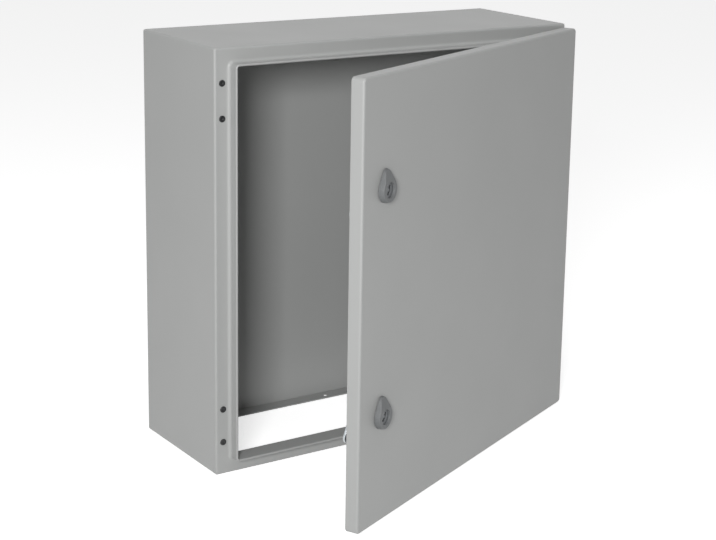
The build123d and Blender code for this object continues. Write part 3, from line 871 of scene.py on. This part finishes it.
@dataclass
class Cabinet:
    """The cabinet: bent wrap with its rim and rain lip, welded back, and its studs and plugs."""

    shop: Shop
    sheet: float = 1.5
    corner: float = 3.2
    least_corner: float = 1.0
    bend: float = 3.0
    back_edge: float = 0.3
    rim: float = 21.0
    side_rim: float = 23.0
    lip_wall: float = 3.0
    lip_forward: float = 18.0
    lip_corner: float = 3.0
    lip_bend: float = 4.8
    lip_edge: float = 1.38
    lip_return: float = 30.0
    rim_hole: float = 2.75
    wall_hole: float = 4.25
    wall_hole_edge: float = 30.0
    cable_side: float = 55.0
    cable_rear: float = 26.0
    cable_front: float = 30.0
    cable_corner: float = 6.0
    cable_screw: float = 3.2
    cable_screw_edge: float = 10.0
    stud_seed: int = 3
    plug_seed: int = 5

    def __post_init__(self) -> None:
        """Reads the overall size from the frame."""
        low, high = box("body_shell")
        self.half_x, self.half_z = high.x, high.z
        self.depth = -low.y - self.lip_forward

    def section(self) -> list[Point]:
        """The wrap's section: how far in from the outside, and how far forward from the back."""
        sheet, edge, bend, deep = self.sheet, self.back_edge, self.bend, self.depth
        front = deep + self.lip_forward
        outer, inner = self.rim, self.rim + self.lip_wall
        beside = BESIDE_BEND
        path = arc((edge, edge), edge, 270, 180, 3)
        path += [(0, edge + beside), (0, deep - bend - beside)]
        path += arc((bend, deep - bend), bend, 180, 90, 8)
        start = outer - self.lip_bend
        path += [(bend + beside, deep), (start - beside, deep)]
        path += arc((start, deep + self.lip_bend), self.lip_bend, 270, 360, 8)
        path += [(outer, deep + self.lip_bend + beside), (outer, front - self.lip_edge - beside)]
        path += arc((outer + self.lip_edge, front - self.lip_edge), self.lip_edge, 180, 90, 5)
        path += arc((inner - self.lip_edge, front - self.lip_edge), self.lip_edge, 90, 0, 5)
        end, fold, small_edge = front - self.lip_return, outer + sheet, 0.3
        path += [(inner, front - self.lip_edge - beside), (inner, end + small_edge + beside)]
        path += arc((inner - small_edge, end + small_edge), small_edge, 0, -90, 3)
        path += arc((fold + small_edge, end + small_edge), small_edge, -90, -180, 3)
        wide = self.lip_bend + sheet
        path += [(fold, end + small_edge + beside)]
        path += arc((start, deep - sheet + wide), wide, 0, -90, 8)
        small = bend - sheet
        path += [(start - beside, deep - sheet), (bend + beside, deep - sheet)]
        path += arc((bend, deep - sheet - small), small, 90, 180, 4)
        path += [(sheet, deep - bend - beside), (sheet, edge + beside)]
        path += arc((sheet - edge, edge), edge, 0, -90, 3)
        return path

    def ring_at(self, inset: float, forward: float) -> Ring:
        """The wrap's ring at one point of its section. The side rims are wider than the top one."""
        if inset > self.rim - self.lip_bend - self.sheet:
            wider = self.side_rim - self.rim
            corner = self.lip_corner + self.rim + self.lip_wall - inset
        else:
            wider, corner = 0.0, max(self.corner - inset, self.least_corner)
        return rounded_ring(self.half_x - inset - wider, self.half_z - inset, corner, -forward)

    def wrap(self) -> None:
        """The wrap, with its cable opening and its screw holes."""
        rings = [self.ring_at(inset, forward) for inset, forward in self.section()]
        piece = self.shop.link(mesh_of("cabinet_wrap", loft(rings, Ends.LOOPED)))
        self.cut_cable_opening(piece)
        holes = [(b[0] + b[1]) / 2 for b in solids("hinge_nuts", Matrix()) + solids("rim_plugs", Matrix())]
        level = -self.depth + self.sheet / 2
        places = [Vector((h.x, level, h.z)) for h in holes]
        self.shop.punch(piece, places, self.rim_hole, 3 * self.sheet, Vector((90, 0, 0)))
        self.shop.dress(piece, "cabinet", "cabinet_coat", "body_shell")

    def cut_cable_opening(self, piece: bpy.types.Object) -> None:
        """Cuts the cable opening and the screw holes of its cover plate in the bottom."""
        long_x = self.half_x - self.cable_side
        rear, fore = -self.cable_rear, -self.depth + self.cable_front
        half_y, middle = (rear - fore) / 2, (rear + fore) / 2
        below, above = -self.half_z - self.sheet, -self.half_z + 2 * self.sheet
        turn = Matrix.Rotation(math.radians(90), 4, "X")
        rings = [rounded_ring(long_x, half_y, self.cable_corner, h) for h in (below, above)]
        slot = loft(rings, Ends.CAPPED)
        cutter = self.shop.link(mesh_of("cable_cutter", slot, Matrix.Translation((0, middle, 0)) @ turn))
        carve(piece, cutter)
        reach_x, reach_y = long_x - self.cable_screw_edge, half_y + self.cable_screw_edge
        level = -self.half_z + self.sheet / 2
        places = [Vector((x, middle + sy * reach_y, level))
                  for x in (-reach_x, 0, reach_x) for sy in (-1, 1)]
        self.shop.punch(piece, places, self.cable_screw, 3 * self.sheet, Vector((0, 0, 0)))

    def back(self) -> None:
        """The back sheet, with a fine open joint where it meets the wrap."""
        joint, round_r, beside, burr = 0.12, 0.5, 0.6, 0.1
        reach_x, reach_z = self.half_x - self.sheet - joint, self.half_z - self.sheet - joint
        corner = self.corner - self.sheet
        rings = []
        path = [(round_r + beside, 0.0), *arc((round_r, round_r), round_r, 270, 180, 4),
                (0.0, self.sheet - burr), (burr, self.sheet), (BESIDE_BEND, self.sheet)]
        for inset, forward in path:
            rings.append(rounded_ring(reach_x - inset, reach_z - inset, corner - inset, -forward))
        piece = self.shop.link(mesh_of("back_sheet", loft(rings, Ends.CAPPED)))
        holes = [Vector((sx * (self.half_x - self.wall_hole_edge), -self.sheet / 2,
                         sz * (self.half_z - self.wall_hole_edge))) for sx in (-1, 1) for sz in (-1, 1)]
        self.shop.punch(piece, holes, self.wall_hole, 3 * self.sheet, Vector((90, 0, 0)))
        self.shop.dress(piece, "cabinet", "cabinet_coat", "back_panel")

    def plate_studs(self) -> None:
        """The four threaded studs for a mounting plate."""
        low, high = solids("plate_studs", Matrix())[0]
        stud = stud_pattern(M8, high.y - low.y, True)
        places = seats("plate_studs", Vector((0, -1, 0)), Matrix())
        self.shop.row("mounting_studs", stud, places, 0.0, self.stud_seed,
                      "cabinet", "coppered_stud", "plate_studs")

    def plugs(self) -> None:
        """The four snap plugs in the free rim."""
        rest = -self.depth
        tail = solids("rim_plugs", Matrix())[0][1].y - rest
        profile = Plug().profile(self.rim_hole, self.sheet, tail)
        rings = [polar_ring(r, y) for r, y in profile]
        pattern = mesh_of("plug_pattern", loft(rings, Ends.CAPPED))
        places = [Vector(((a.x + b.x) / 2, rest, (a.z + b.z) / 2))
                  for a, b in solids("rim_plugs", Matrix())]
        self.shop.row("snap_plugs", pattern, places, 0.0, self.plug_seed,
                      "cabinet", "plug_plastic", "rim_plugs")

    def build(self) -> None:
        """Makes the cabinet's pieces."""
        self.wrap()
        self.back()
        self.plate_studs()
        self.plugs()


def carve(piece: bpy.types.Object, cutter: bpy.types.Object) -> None:
    """Cuts one object out of another and deletes the cutter."""
    modifier = piece.modifiers.new("cut", "BOOLEAN")
    modifier.operation = "DIFFERENCE"
    modifier.solver = "EXACT"
    modifier.object = cutter
    settle(piece)
    remove(cutter)
    shade(piece.data)


@dataclass
class Door:
    """The door pan with its foamed seal and its perforated rails."""

    shop: Shop
    sheet: float = 1.5
    bend: float = 3.0
    corner: float = 6.0
    least_corner: float = 0.6
    edge: float = 0.4
    depth: float = 19.0
    lock_hole: float = 11.2
    bead_width: float = 10.0
    bead_edge: float = 1.7
    bead_corner: float = 4.0
    bead_slack: float = 0.2
    bead_unevenness: float = 0.3
    bead_grain: float = 9.0
    rail_sheet: float = 1.5
    rail_bend: float = 0.5
    rail_hole: float = 3.2
    rail_pitch: float = 25.0
    rail_hole_end: float = 40.0

    def __post_init__(self) -> None:
        """Reads the closed door's size from the frame."""
        self.unturn = self.shop.swing.matrix().inverted()
        low, high = solids("door_panel", self.unturn)[0]
        self.half_x = (high.x - low.x) / 2
        self.half_z = (high.z - low.z) / 2
        self.middle_z = (high.z + low.z) / 2
        self.back, self.front = high.y, low.y
        self.inner = self.front + self.sheet

    def place(self) -> Matrix:
        """From the closed door to its opening at rest."""
        return self.shop.swing.matrix()

    def pan(self) -> None:
        """The folded pan."""
        edge, bend, beside = self.edge, self.bend, BESIDE_BEND
        deep = self.back - self.front
        small = bend - self.sheet
        path = [(bend + beside, deep)]
        path += reversed(arc((bend, deep - bend), bend, 180, 90, 8))
        path += [(0, deep - bend - beside), (0, edge + beside)]
        path += arc((edge, edge), edge, 180, 270, 3)
        path += arc((self.sheet - edge, edge), edge, -90, 0, 3)
        path += [(self.sheet, edge + beside), (self.sheet, deep - bend - beside)]
        path += arc((bend, deep - bend), small, 180, 90, 5)
        path += [(bend + beside, deep - self.sheet)]
        rings = [rounded_ring(self.half_x - i, self.half_z - i, max(self.corner - i, self.least_corner),
                              self.back - f, self.middle_z) for i, f in path]
        piece = self.shop.link(mesh_of("door_pan", loft(rings, Ends.CAPPED), self.place()))
        holes = []
        for joint in frame["joints"]:
            if joint["parent"] == "door":
                axis = self.unturn @ (Vector(joint["pos_m"]) / MM)
                holes.append(self.place() @ Vector((axis.x, self.front + self.sheet / 2, axis.z)))
        facing = Vector((90, 0, self.shop.swing.degrees))
        self.shop.punch(piece, holes, self.lock_hole, 3 * self.sheet, facing)
        self.shop.dress(piece, "door", "door_coat", "door_panel")

    def seal(self) -> None:
        """The foamed seal, laid as one bead round the pan."""
        low, high = solids("door_seal", self.unturn)[0]
        start = bpy.data.meshes.new("door_seal_bead")
        piece = self.shop.link(start)
        rise = high.y - low.y
        run_tree(piece, self.shop.beads, {
            "Width": (high.x - low.x - self.bead_width) * MM,
            "Height": (high.z - low.z - self.bead_width) * MM,
            "Corner": self.bead_corner * MM, "Bead Width": (self.bead_width - self.bead_slack) * MM,
            "Bead Height": rise * MM, "Bead Edge": self.bead_edge * MM,
            "Unevenness": self.bead_unevenness * MM, "Grain": per_mm(self.bead_grain),
            "Material": self.shop.finishes["seal_foam"]})
        piece.name = piece.data.name = "door_seal_bead"
        upright = Matrix.Rotation(math.radians(90), 4, "X")
        middle = (low + high) / 2
        place = self.place() @ Matrix.Translation(middle)
        place.translation *= MM
        piece.data.transform(place @ upright)
        shade(piece.data)
        self.shop.dress(piece, "door", "seal_foam", "door_seal")

    def rails(self) -> None:
        """The two channel rails with their rows of round holes."""
        studs = solids("rail_studs", self.unturn)
        for node in ("door_rail_lock_side", "door_rail_hinge_side"):
            low, high = solids(node, self.unturn)[0]
            half = (high.x - low.x) / 2
            thick, inner = self.rail_sheet, self.rail_bend
            outer = inner + thick
            deep = high.y - low.y
            side = [(-half, 0.0), *arc((outer - half, deep - outer), outer, 180, 90, 5),
                    *arc((half - outer, deep - outer), outer, 90, 0, 5), (half, 0.0), (half - thick, 0.0),
                    *arc((half - outer, deep - outer), inner, 0, 90, 3),
                    *arc((outer - half, deep - outer), inner, 90, 180, 3), (thick - half, 0.0)]
            middle = (low.x + high.x) / 2
            rings = [np.array([(middle + x, low.y + y, z) for x, y in side]) for z in (low.z, high.z)]
            shape = loft(rings, Ends.CAPPED)
            ease(shape, width=0.2, angle=60.0)
            piece = self.shop.link(mesh_of(node + "_channel", shape, self.place()))
            web = high.y - thick / 2
            count = math.floor((high.z - low.z - 2 * self.rail_hole_end) / self.rail_pitch) + 1
            centre = (low.z + high.z) / 2
            first = centre - (count - 1) / 2 * self.rail_pitch
            marks = [Vector((middle, web, first + i * self.rail_pitch)) for i in range(count)]
            held = [(a, b) for a, b in studs if a.x > low.x and b.x < high.x]
            marks += [Vector((middle, web, (a.z + b.z) / 2)) for a, b in held]
            facing = Vector((90, 0, self.shop.swing.degrees))
            self.shop.punch(piece, [self.place() @ m for m in marks], self.rail_hole, 3 * thick, facing)
            self.shop.dress(piece, "door", "zinc_plated_steel", node)

    def build(self) -> None:
        """Makes the door's pieces."""
        self.pan()
        self.seal()
        self.rails()


@dataclass
class Lock:
    """One quarter-turn lock: plate and barrel, gasket, nut, insert, cam and screw."""

    shop: Shop
    side: str
    wide: float = 16.0
    narrow: float = 7.0
    gap: float = 19.0
    proud: float = 8.0
    tail_proud: float = 3.5
    tail_start: float = 11.5
    taper: float = 8.0
    edge: float = 1.2
    gasket: float = 0.8
    gasket_inset: float = 0.5
    barrel: float = 11.0
    barrel_flat: float = 10.0
    barrel_pitch: float = 1.5
    hole_gap: float = 0.2
    insert: float = 10.0
    recess: float = 3.0
    # The rounded mouth of the recess: how much wider than the recess, and how deep.
    mouth: tuple[Point, ...] = ((0.5, 0.0), (0.12, 0.15), (0.0, 0.5))
    insert_height: float = 4.0
    running_gap: float = 0.06
    shaft: float = 6.0
    square: float = 8.0
    well: float = 3.0
    well_depth: float = 8.0
    key_pin: float = 2.1
    key_pin_recess: float = 0.3
    bit_reach: float = 6.6
    bit_width: float = 4.2
    bit_depth: float = 3.2
    nut_wall: float = 2.5
    nut_height: float = 5.0
    cam_sheet: float = 3.0

    def __post_init__(self) -> None:
        """Reads the lock's axis from its joint, and its depths from the closed door."""
        self.body = "lock_" + self.side
        joint = next(j for j in frame["joints"] if j["child"] == self.body)
        self.rest_turn = -joint["range_deg"][0]
        unturn = self.shop.swing.matrix().inverted()
        self.axis = unturn @ (Vector(joint["pos_m"]) / MM)
        low, high = solids("lock_housing_" + self.side, unturn)[0]
        self.face, self.barrel_end = low.y, high.y
        self.base = self.face + self.proud
        self.cam_back = solids("lock_cam_" + self.side, unturn)[0][0].y + self.cam_sheet

    def place(self, turn: float = 0.0) -> Matrix:
        """From a part drawn round the Y axis to its place on the door at rest."""
        spin = Matrix.Rotation(math.radians(turn), 4, "Y")
        return self.shop.swing.matrix() @ Matrix.Translation((self.axis.x, 0, self.axis.z)) @ spin

    def egg(self, shrink: float | np.ndarray) -> np.ndarray:
        """The radius of the plate's outline at each angle, made smaller by shrink."""
        wide, narrow = self.wide - shrink, self.narrow - shrink
        lean = math.asin((self.wide - self.narrow) / self.gap)
        tip = np.arctan2(self.gap + narrow * math.sin(lean), narrow * math.cos(lean))
        angles = turns()
        side = np.minimum(angles % math.tau, (math.pi - angles) % math.tau)
        side = np.where(angles > math.pi, 0.0, side)
        across = self.gap * np.cos(angles)
        top = self.gap * np.sin(angles) + np.sqrt(np.maximum(narrow ** 2 - across ** 2, 0.0))
        straight = wide / np.cos(side - lean)
        reach = np.where(side > tip, top, straight)
        return np.where((angles > math.pi) | (side < lean), wide, reach)

    def flatted(self, reach: np.ndarray | float) -> np.ndarray:
        """A round barrel's radius at each angle, cut by its two flats."""
        flat = self.barrel_flat / np.maximum(np.abs(np.cos(turns())), 1e-6)
        return np.minimum(np.broadcast_to(reach, flat.shape), flat)

    def height(self, shrink: float) -> np.ndarray:
        """How proud the plate stands at each angle of an outline: its narrow end slopes down."""
        up = self.egg(shrink) * np.sin(turns())
        fall = (self.proud - self.tail_proud) / (self.gap + self.narrow - self.tail_start)
        return self.proud - fall * np.maximum(up - self.tail_start, 0.0)

    def housing(self) -> None:
        """The tapered plate with its recess, and the flatted, threaded barrel behind it."""
        slope = math.tan(math.radians(self.taper))
        high = self.height(0.0)
        foot = 0.25
        rings = [polar_ring(self.egg(-self.proud * slope + foot), self.base)]
        for share in (0.03, 0.3, (self.proud - self.edge - BESIDE_BEND) / self.proud):
            along = share * high
            rings.append(polar_ring(self.egg(-(self.proud - along) * slope), self.base - along))
        for x, y in arc((0.0, 0.0), self.edge, 0, 90, 6):
            shrink = self.edge - x - (self.proud - high) * slope
            rings.append(polar_ring(self.egg(shrink), self.base - high + self.edge - y))
        rim = self.insert + self.running_gap
        seat = self.face + self.recess + self.insert_height + self.running_gap
        bore = self.shaft + self.running_gap
        inside = self.edge + 1.5
        rings.append(polar_ring(self.egg(inside), self.base - self.height(inside)))
        rings += [polar_ring(rim + wider, self.face + deep) for wider, deep in self.mouth]
        rings += [polar_ring(rim, seat), polar_ring(bore, seat), polar_ring(bore, self.barrel_end)]
        tip, start = self.barrel - 1.2, self.barrel - 0.9
        rings.append(polar_ring(self.flatted(tip), self.barrel_end))
        steps = round((self.barrel_end - self.base) / self.barrel_pitch * 4)
        for i in range(steps + 1):
            y = self.barrel_end - (self.barrel_end - self.base) * i / steps
            lead = start + self.barrel_end - y
            reach = np.minimum(thread(self.barrel, self.barrel_pitch, y), lead)
            rings.append(polar_ring(self.flatted(reach), y))
        piece = self.shop.link(mesh_of(f"lock_plate_{self.side}", loft(rings, Ends.LOOPED), self.place()))
        self.shop.dress(piece, "door", "lock_plastic", f"lock_housing_{self.side}")

    def gasket_ring(self) -> None:
        """The thin gasket between the plate and the door, with a slightly bulged edge."""
        bulge, soft = 0.15, 0.25
        full, pinched = self.egg(self.gasket_inset), self.egg(self.gasket_inset + bulge)
        hole = self.flatted(self.barrel + self.hole_gap)
        back = self.base + self.gasket
        rings = [polar_ring(pinched, self.base), polar_ring(full, self.base + soft),
                 polar_ring(full, back - soft), polar_ring(pinched, back),
                 polar_ring(hole, back), polar_ring(hole, self.base)]
        shape = loft(rings, Ends.LOOPED)
        piece = self.shop.link(mesh_of(f"lock_gasket_ring_{self.side}", shape, self.place()))
        self.shop.dress(piece, "door", "gasket_rubber", f"lock_gasket_{self.side}")

    def insert_piece(self) -> None:
        """The turning insert: a round face with a key well, its pin and two bit slots, and the shaft."""
        face = self.face + self.recess
        back = face + self.insert_height
        round_r, beside = 0.6, 0.5
        rings = [polar_ring(self.insert - round_r - beside, face)]
        rings += [polar_ring(self.insert - round_r + x, face + round_r + y)
                  for x, y in arc((0.0, 0.0), round_r, -90, 0, 4)]
        rings += [polar_ring(self.insert, back), polar_ring(self.shaft, back),
                  polar_ring(self.shaft, self.barrel_end)]
        flat = self.square / 2
        box_reach = flat / np.maximum(np.abs(np.cos(turns())), np.abs(np.sin(turns())))
        sunk, chamfer, tip_reach = 0.3, 0.3, 0.93 * box_reach
        square_end = self.cam_back - sunk
        rings += [polar_ring(box_reach, self.barrel_end), polar_ring(box_reach, square_end - chamfer),
                  polar_ring(tip_reach, square_end)]
        piece = self.shop.link(mesh_of(f"lock_core_{self.side}", loft(rings, Ends.CAPPED)))
        ahead = face - 1.0
        bottom = face + self.well_depth
        tip, bevel, point = face + self.key_pin_recess, 0.4, 0.2
        well = [polar_ring(self.well, ahead), polar_ring(self.well, bottom),
                polar_ring(self.key_pin, bottom), polar_ring(self.key_pin, tip + bevel),
                polar_ring(self.key_pin - bevel, tip), polar_ring(point, tip), polar_ring(point, ahead)]
        carve(piece, self.shop.link(mesh_of("well_cutter", loft(well, Ends.LOOPED))))
        half, wall = self.bit_width / 2, 0.5
        for sign in (-1, 1):
            near, far = sign * (self.key_pin + wall), sign * self.bit_reach
            ends = [np.array([(-half, y, near), (half, y, near), (half, y, far), (-half, y, far)])
                    for y in (ahead, face + self.bit_depth)]
            carve(piece, self.shop.link(mesh_of("bit_cutter", loft(ends, Ends.CAPPED))))
        place = self.place(self.rest_turn)
        place.translation *= MM
        piece.data.transform(place)
        self.shop.dress(piece, self.body, "lock_insert_zinc", f"lock_insert_{self.side}")

    def clamp_nut(self) -> None:
        """The large nut that clamps the lock from inside the door."""
        nut = nut_pattern(2 * (self.barrel + self.nut_wall), self.barrel + THREAD_GAP, self.nut_height)
        start = solids("lock_nut_" + self.side, self.shop.swing.matrix().inverted())[0][0].y
        place = self.place() @ Matrix.Translation((0, start, 0)) @ Matrix.Rotation(math.pi, 4, "Z")
        place.translation *= MM
        nut.transform(place)
        nut.name = f"lock_clamp_nut_{self.side}"
        self.shop.dress(self.shop.link(nut), "door", "zinc_plated_steel", f"lock_nut_{self.side}")

    def build(self) -> None:
        """Makes the lock's pieces."""
        self.housing()
        self.gasket_ring()
        self.insert_piece()
        self.clamp_nut()
        self.shop.eased(f"lock_cam_{self.side}", self.body, "zinc_plated_steel", width=0.4)
        self.shop.eased(f"lock_cam_screw_{self.side}", self.body, "zinc_plated_steel", width=0.2)


@dataclass(frozen=True)
class Fixings:
    """The equal studs or nuts of one CAD node."""

    node: str
    kind: Fastener
    size: Thread
    seed: int
    welded: bool = False

    def pattern(self, length: float) -> bpy.types.Mesh:
        """The mesh of one of them, as long as the CAD's."""
        if self.kind is Fastener.NUT:
            return nut_pattern(self.size.flats, self.size.radius + THREAD_GAP, length)
        return stud_pattern(self.size, length, self.welded)


@dataclass
class Fittings:
    """The hinges, the small screws, studs and nuts, and the earthing points."""

    shop: Shop
    screw_head: float = 4.8
    screw_cone: float = 2.5
    screw_socket: Point = (3.0, 1.6)
    screw_seed: int = 11
    rim_nuts: Fixings = Fixings("hinge_nuts", Fastener.NUT, M5, 12)
    on_door: tuple[Fixings, ...] = (
        Fixings("rail_studs", Fastener.STUD, M6, 21),
        Fixings("rail_nuts", Fastener.NUT, M6, 22),
        Fixings("arm_studs", Fastener.STUD, M4, 23),
        Fixings("arm_nuts", Fastener.NUT, M4, 24),
        Fixings("door_earth_stud", Fastener.STUD, M8, 25, True),
        Fixings("door_earth_nut", Fastener.NUT, M8, 26),
    )
    on_wall: tuple[Fixings, ...] = (
        Fixings("body_earth_stud", Fastener.STUD, M8, 31, True),
        Fixings("body_earth_nut", Fastener.NUT, M8, 32),
    )

    def hinges(self) -> None:
        """The hinge bases, arms and pins, with eased edges."""
        for side in ("upper", "lower"):
            self.shop.eased(f"hinge_base_{side}", "cabinet", "hinge_zinc", width=0.35)
            self.shop.eased(f"hinge_arm_{side}", "door", "hinge_zinc", width=0.3)
            self.shop.eased(f"hinge_pin_{side}", "cabinet", "zinc_plated_steel", width=0.15)

    def rim_rows(self) -> None:
        """The hinge screws and their nuts behind the rim."""
        inward = Vector((0, 1, 0))
        low, high = solids("hinge_screws", Matrix())[0]
        screw = countersunk_pattern(self.screw_head, M5, self.screw_cone, high.y - low.y, self.screw_socket)
        places = seats("hinge_screws", inward, Matrix())
        self.shop.row("hinge_base_screws", screw, places, 0.0, self.screw_seed,
                      "cabinet", "zinc_plated_steel", "hinge_screws")
        low, high = solids("hinge_nuts", Matrix())[0]
        places = seats("hinge_nuts", inward, Matrix())
        self.shop.row("hinge_base_nuts", self.rim_nuts.pattern(high.y - low.y), places, 180.0,
                      self.rim_nuts.seed, "cabinet", self.rim_nuts.kind.value, "hinge_nuts")

    def door_rows(self) -> None:
        """The studs and nuts inside the door, which point from it towards the cabinet."""
        swing = self.shop.swing
        unturn = swing.matrix().inverted()
        facing = 180.0 + swing.degrees
        inward = Vector((0, 1, 0))
        for fixings in self.on_door:
            low, high = solids(fixings.node, unturn)[0]
            places = [swing.matrix() @ p for p in seats(fixings.node, inward, unturn)]
            self.shop.row(fixings.node + "_threaded", fixings.pattern(high.y - low.y), places, facing,
                          fixings.seed, "door", fixings.kind.value, fixings.node)

    def wall_rows(self) -> None:
        """The earthing point on the side wall, which points across the cabinet."""
        across = Vector((-1, 0, 0))
        for fixings in self.on_wall:
            low, high = solids(fixings.node, Matrix())[0]
            places = seats(fixings.node, across, Matrix())
            self.shop.row(fixings.node + "_threaded", fixings.pattern(high.x - low.x), places, -90.0,
                          fixings.seed, "cabinet", fixings.kind.value, fixings.node)

    def build(self) -> None:
        """Makes the fittings."""
        self.hinges()
        self.rim_rows()
        self.door_rows()
        self.wall_rows()
        self.shop.eased("body_earth_washer", "cabinet", "zinc_plated_steel", width=0.12)
        self.shop.eased("door_earth_washer", "door", "zinc_plated_steel", width=0.12)


# Studio


@dataclass
class PhotoCamera:
    """The camera, fitted to the perspective of the photograph."""

    place: tuple[float, float, float] = (-1.33781, -2.14214, 0.61635)
    yaw: float = 0.613406
    pitch: float = -0.228759
    roll: float = 0.0229176
    focal_px: float = 1669.678
    centre_px: Point = (411.6, 194.15)
    frame_px: tuple[int, int] = (716, 540)
    sensor: float = 36.0

    def build(self) -> None:
        """Makes the camera and sets it as the scene's."""
        data = bpy.data.cameras.new("photo_camera")
        data.sensor_width = self.sensor
        data.lens = self.focal_px / self.frame_px[0] * self.sensor
        data.shift_x = (self.frame_px[0] / 2 - self.centre_px[0]) / self.frame_px[0]
        data.shift_y = (self.centre_px[1] - self.frame_px[1] / 2) / self.frame_px[0]
        ahead = Vector((math.sin(self.yaw) * math.cos(self.pitch),
                        math.cos(self.yaw) * math.cos(self.pitch), math.sin(self.pitch)))
        level = ahead.cross(Vector((0, 0, 1))).normalized()
        above = level.cross(ahead)
        right = math.cos(self.roll) * level + math.sin(self.roll) * above
        up = -math.sin(self.roll) * level + math.cos(self.roll) * above
        camera = bpy.data.objects.new("photo_camera", data)
        bpy.context.scene.collection.objects.link(camera)
        pose = Matrix((right, up, -ahead)).transposed().to_4x4()
        pose.translation = self.place
        camera.matrix_world = pose
        bpy.context.scene.camera = camera


@dataclass(frozen=True)
class Softbox:
    """A square area lamp that looks at a point of the object, in metres."""

    name: str
    place: tuple[float, float, float]
    aim: tuple[float, float, float]
    size: float
    watts: float

    def build(self) -> None:
        """Makes the lamp."""
        data = bpy.data.lights.new(self.name, "AREA")
        data.size = self.size
        data.energy = self.watts
        lamp = bpy.data.objects.new(self.name, data)
        bpy.context.scene.collection.objects.link(lamp)
        lamp.location = self.place
        lamp.rotation_euler = (Vector(self.aim) - Vector(self.place)).to_track_quat("-Z", "Y").to_euler()


@dataclass
class Studio:
    """Pale floor, white surroundings and soft lamps."""

    floor_z: float
    floor_reach: float = 9.0
    floor_colour: str = "#F2F2F2"
    floor_glow: float = 0.66
    surround: float = 0.24
    lamps: tuple[Softbox, ...] = (
        Softbox("front_softbox", (-1.95, -2.45, 0.92), (0.0, -0.1, 0.0), 0.6, 65.0),
        Softbox("top_softbox", (-0.3, -0.5, 2.6), (0.0, -0.1, 0.0), 1.8, 15.0),
    )

    def world(self) -> None:
        """White where it is seen or mirrored, and dimmer where it lights the object."""
        world = bpy.data.worlds.new("white_surround")
        bpy.context.scene.world = world
        world.use_nodes = True
        tree = world.node_tree
        tree.nodes.clear()
        seen = self.seen(tree)
        white = linear("#FFFFFF")
        light = add_node(tree, "ShaderNodeBackground", {"Color": white, "Strength": self.surround})
        shown = add_node(tree, "ShaderNodeBackground", {"Color": white, "Strength": 1.0})
        mix = add_node(tree, "ShaderNodeMixShader", {
            0: seen, 1: light.outputs[0], 2: shown.outputs[0]})
        add_node(tree, "ShaderNodeOutputWorld", {"Surface": mix.outputs[0]})

    def seen(self, tree: bpy.types.NodeTree) -> bpy.types.NodeSocket:
        """One for rays from the camera, a mirror or glass, and zero for light."""
        path = add_node(tree, "ShaderNodeLightPath")
        first = add_node(tree, "ShaderNodeMath", {
            0: path.outputs["Is Camera Ray"], 1: path.outputs["Is Glossy Ray"]}, operation="MAXIMUM")
        both = add_node(tree, "ShaderNodeMath", {
            0: first.outputs[0], 1: path.outputs["Is Transmission Ray"]}, operation="MAXIMUM")
        return both.outputs[0]

    def floor(self) -> None:
        """A wide pale floor that keeps the object's shadow."""
        shape = bmesh.new()
        bmesh.ops.create_grid(shape, x_segments=8, y_segments=8, size=self.floor_reach / MM)
        mesh = mesh_of("pale_floor", shape, Matrix.Translation((0, 0, self.floor_z)))
        plane = bpy.data.objects.new("pale_floor", mesh)
        bpy.context.scene.collection.objects.link(plane)
        material = bpy.data.materials.new("matt_white_paper")
        material.use_nodes = True
        tree = material.node_tree
        tree.nodes.clear()
        seen = self.seen(tree)
        glow = add_node(tree, "ShaderNodeMath", {0: seen, 1: self.floor_glow}, operation="MULTIPLY")
        shader = add_node(tree, "ShaderNodeBsdfPrincipled", {
            "Base Color": linear(self.floor_colour), "Roughness": 0.9, "Specular IOR Level": 0.0,
            "Emission Color": linear("#FFFFFF"), "Emission Strength": glow.outputs[0]})
        close_material(tree, shader.outputs["BSDF"])
        mesh.materials.append(material)

    def build(self) -> None:
        """Makes the floor, the world and the lamps."""
        self.floor()
        self.world()
        for lamp in self.lamps:
            lamp.build()
        bpy.context.scene.view_settings.view_transform = "Standard"


def dress_cad_nodes(shop: Shop) -> None:
    """Gives each CAD node that still shows the finish of its slot in the record."""
    for part in frame["record"]["subparts"]:
        node = frame["nodes"][part["node"]]
        if not node.hide_render:
            node.data.materials.clear()
            node.data.materials.append(shop.finishes[part["material_slot"]])
            log.info("%s keeps its CAD mesh", part["node"])


def main() -> None:
    """Builds the camera, the object and the studio."""
    logging.basicConfig(level=logging.INFO, format="%(name)s: %(message)s")
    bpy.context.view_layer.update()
    PhotoCamera().build()
    shop = Shop.open()
    Cabinet(shop).build()
    Door(shop).build()
    Lock(shop, "upper").build()
    Lock(shop, "lower").build()
    Fittings(shop).build()
    dress_cad_nodes(shop)
    Studio(floor_z=box("body_shell")[0].z).build()


if __name__ == "__main__":
    main()
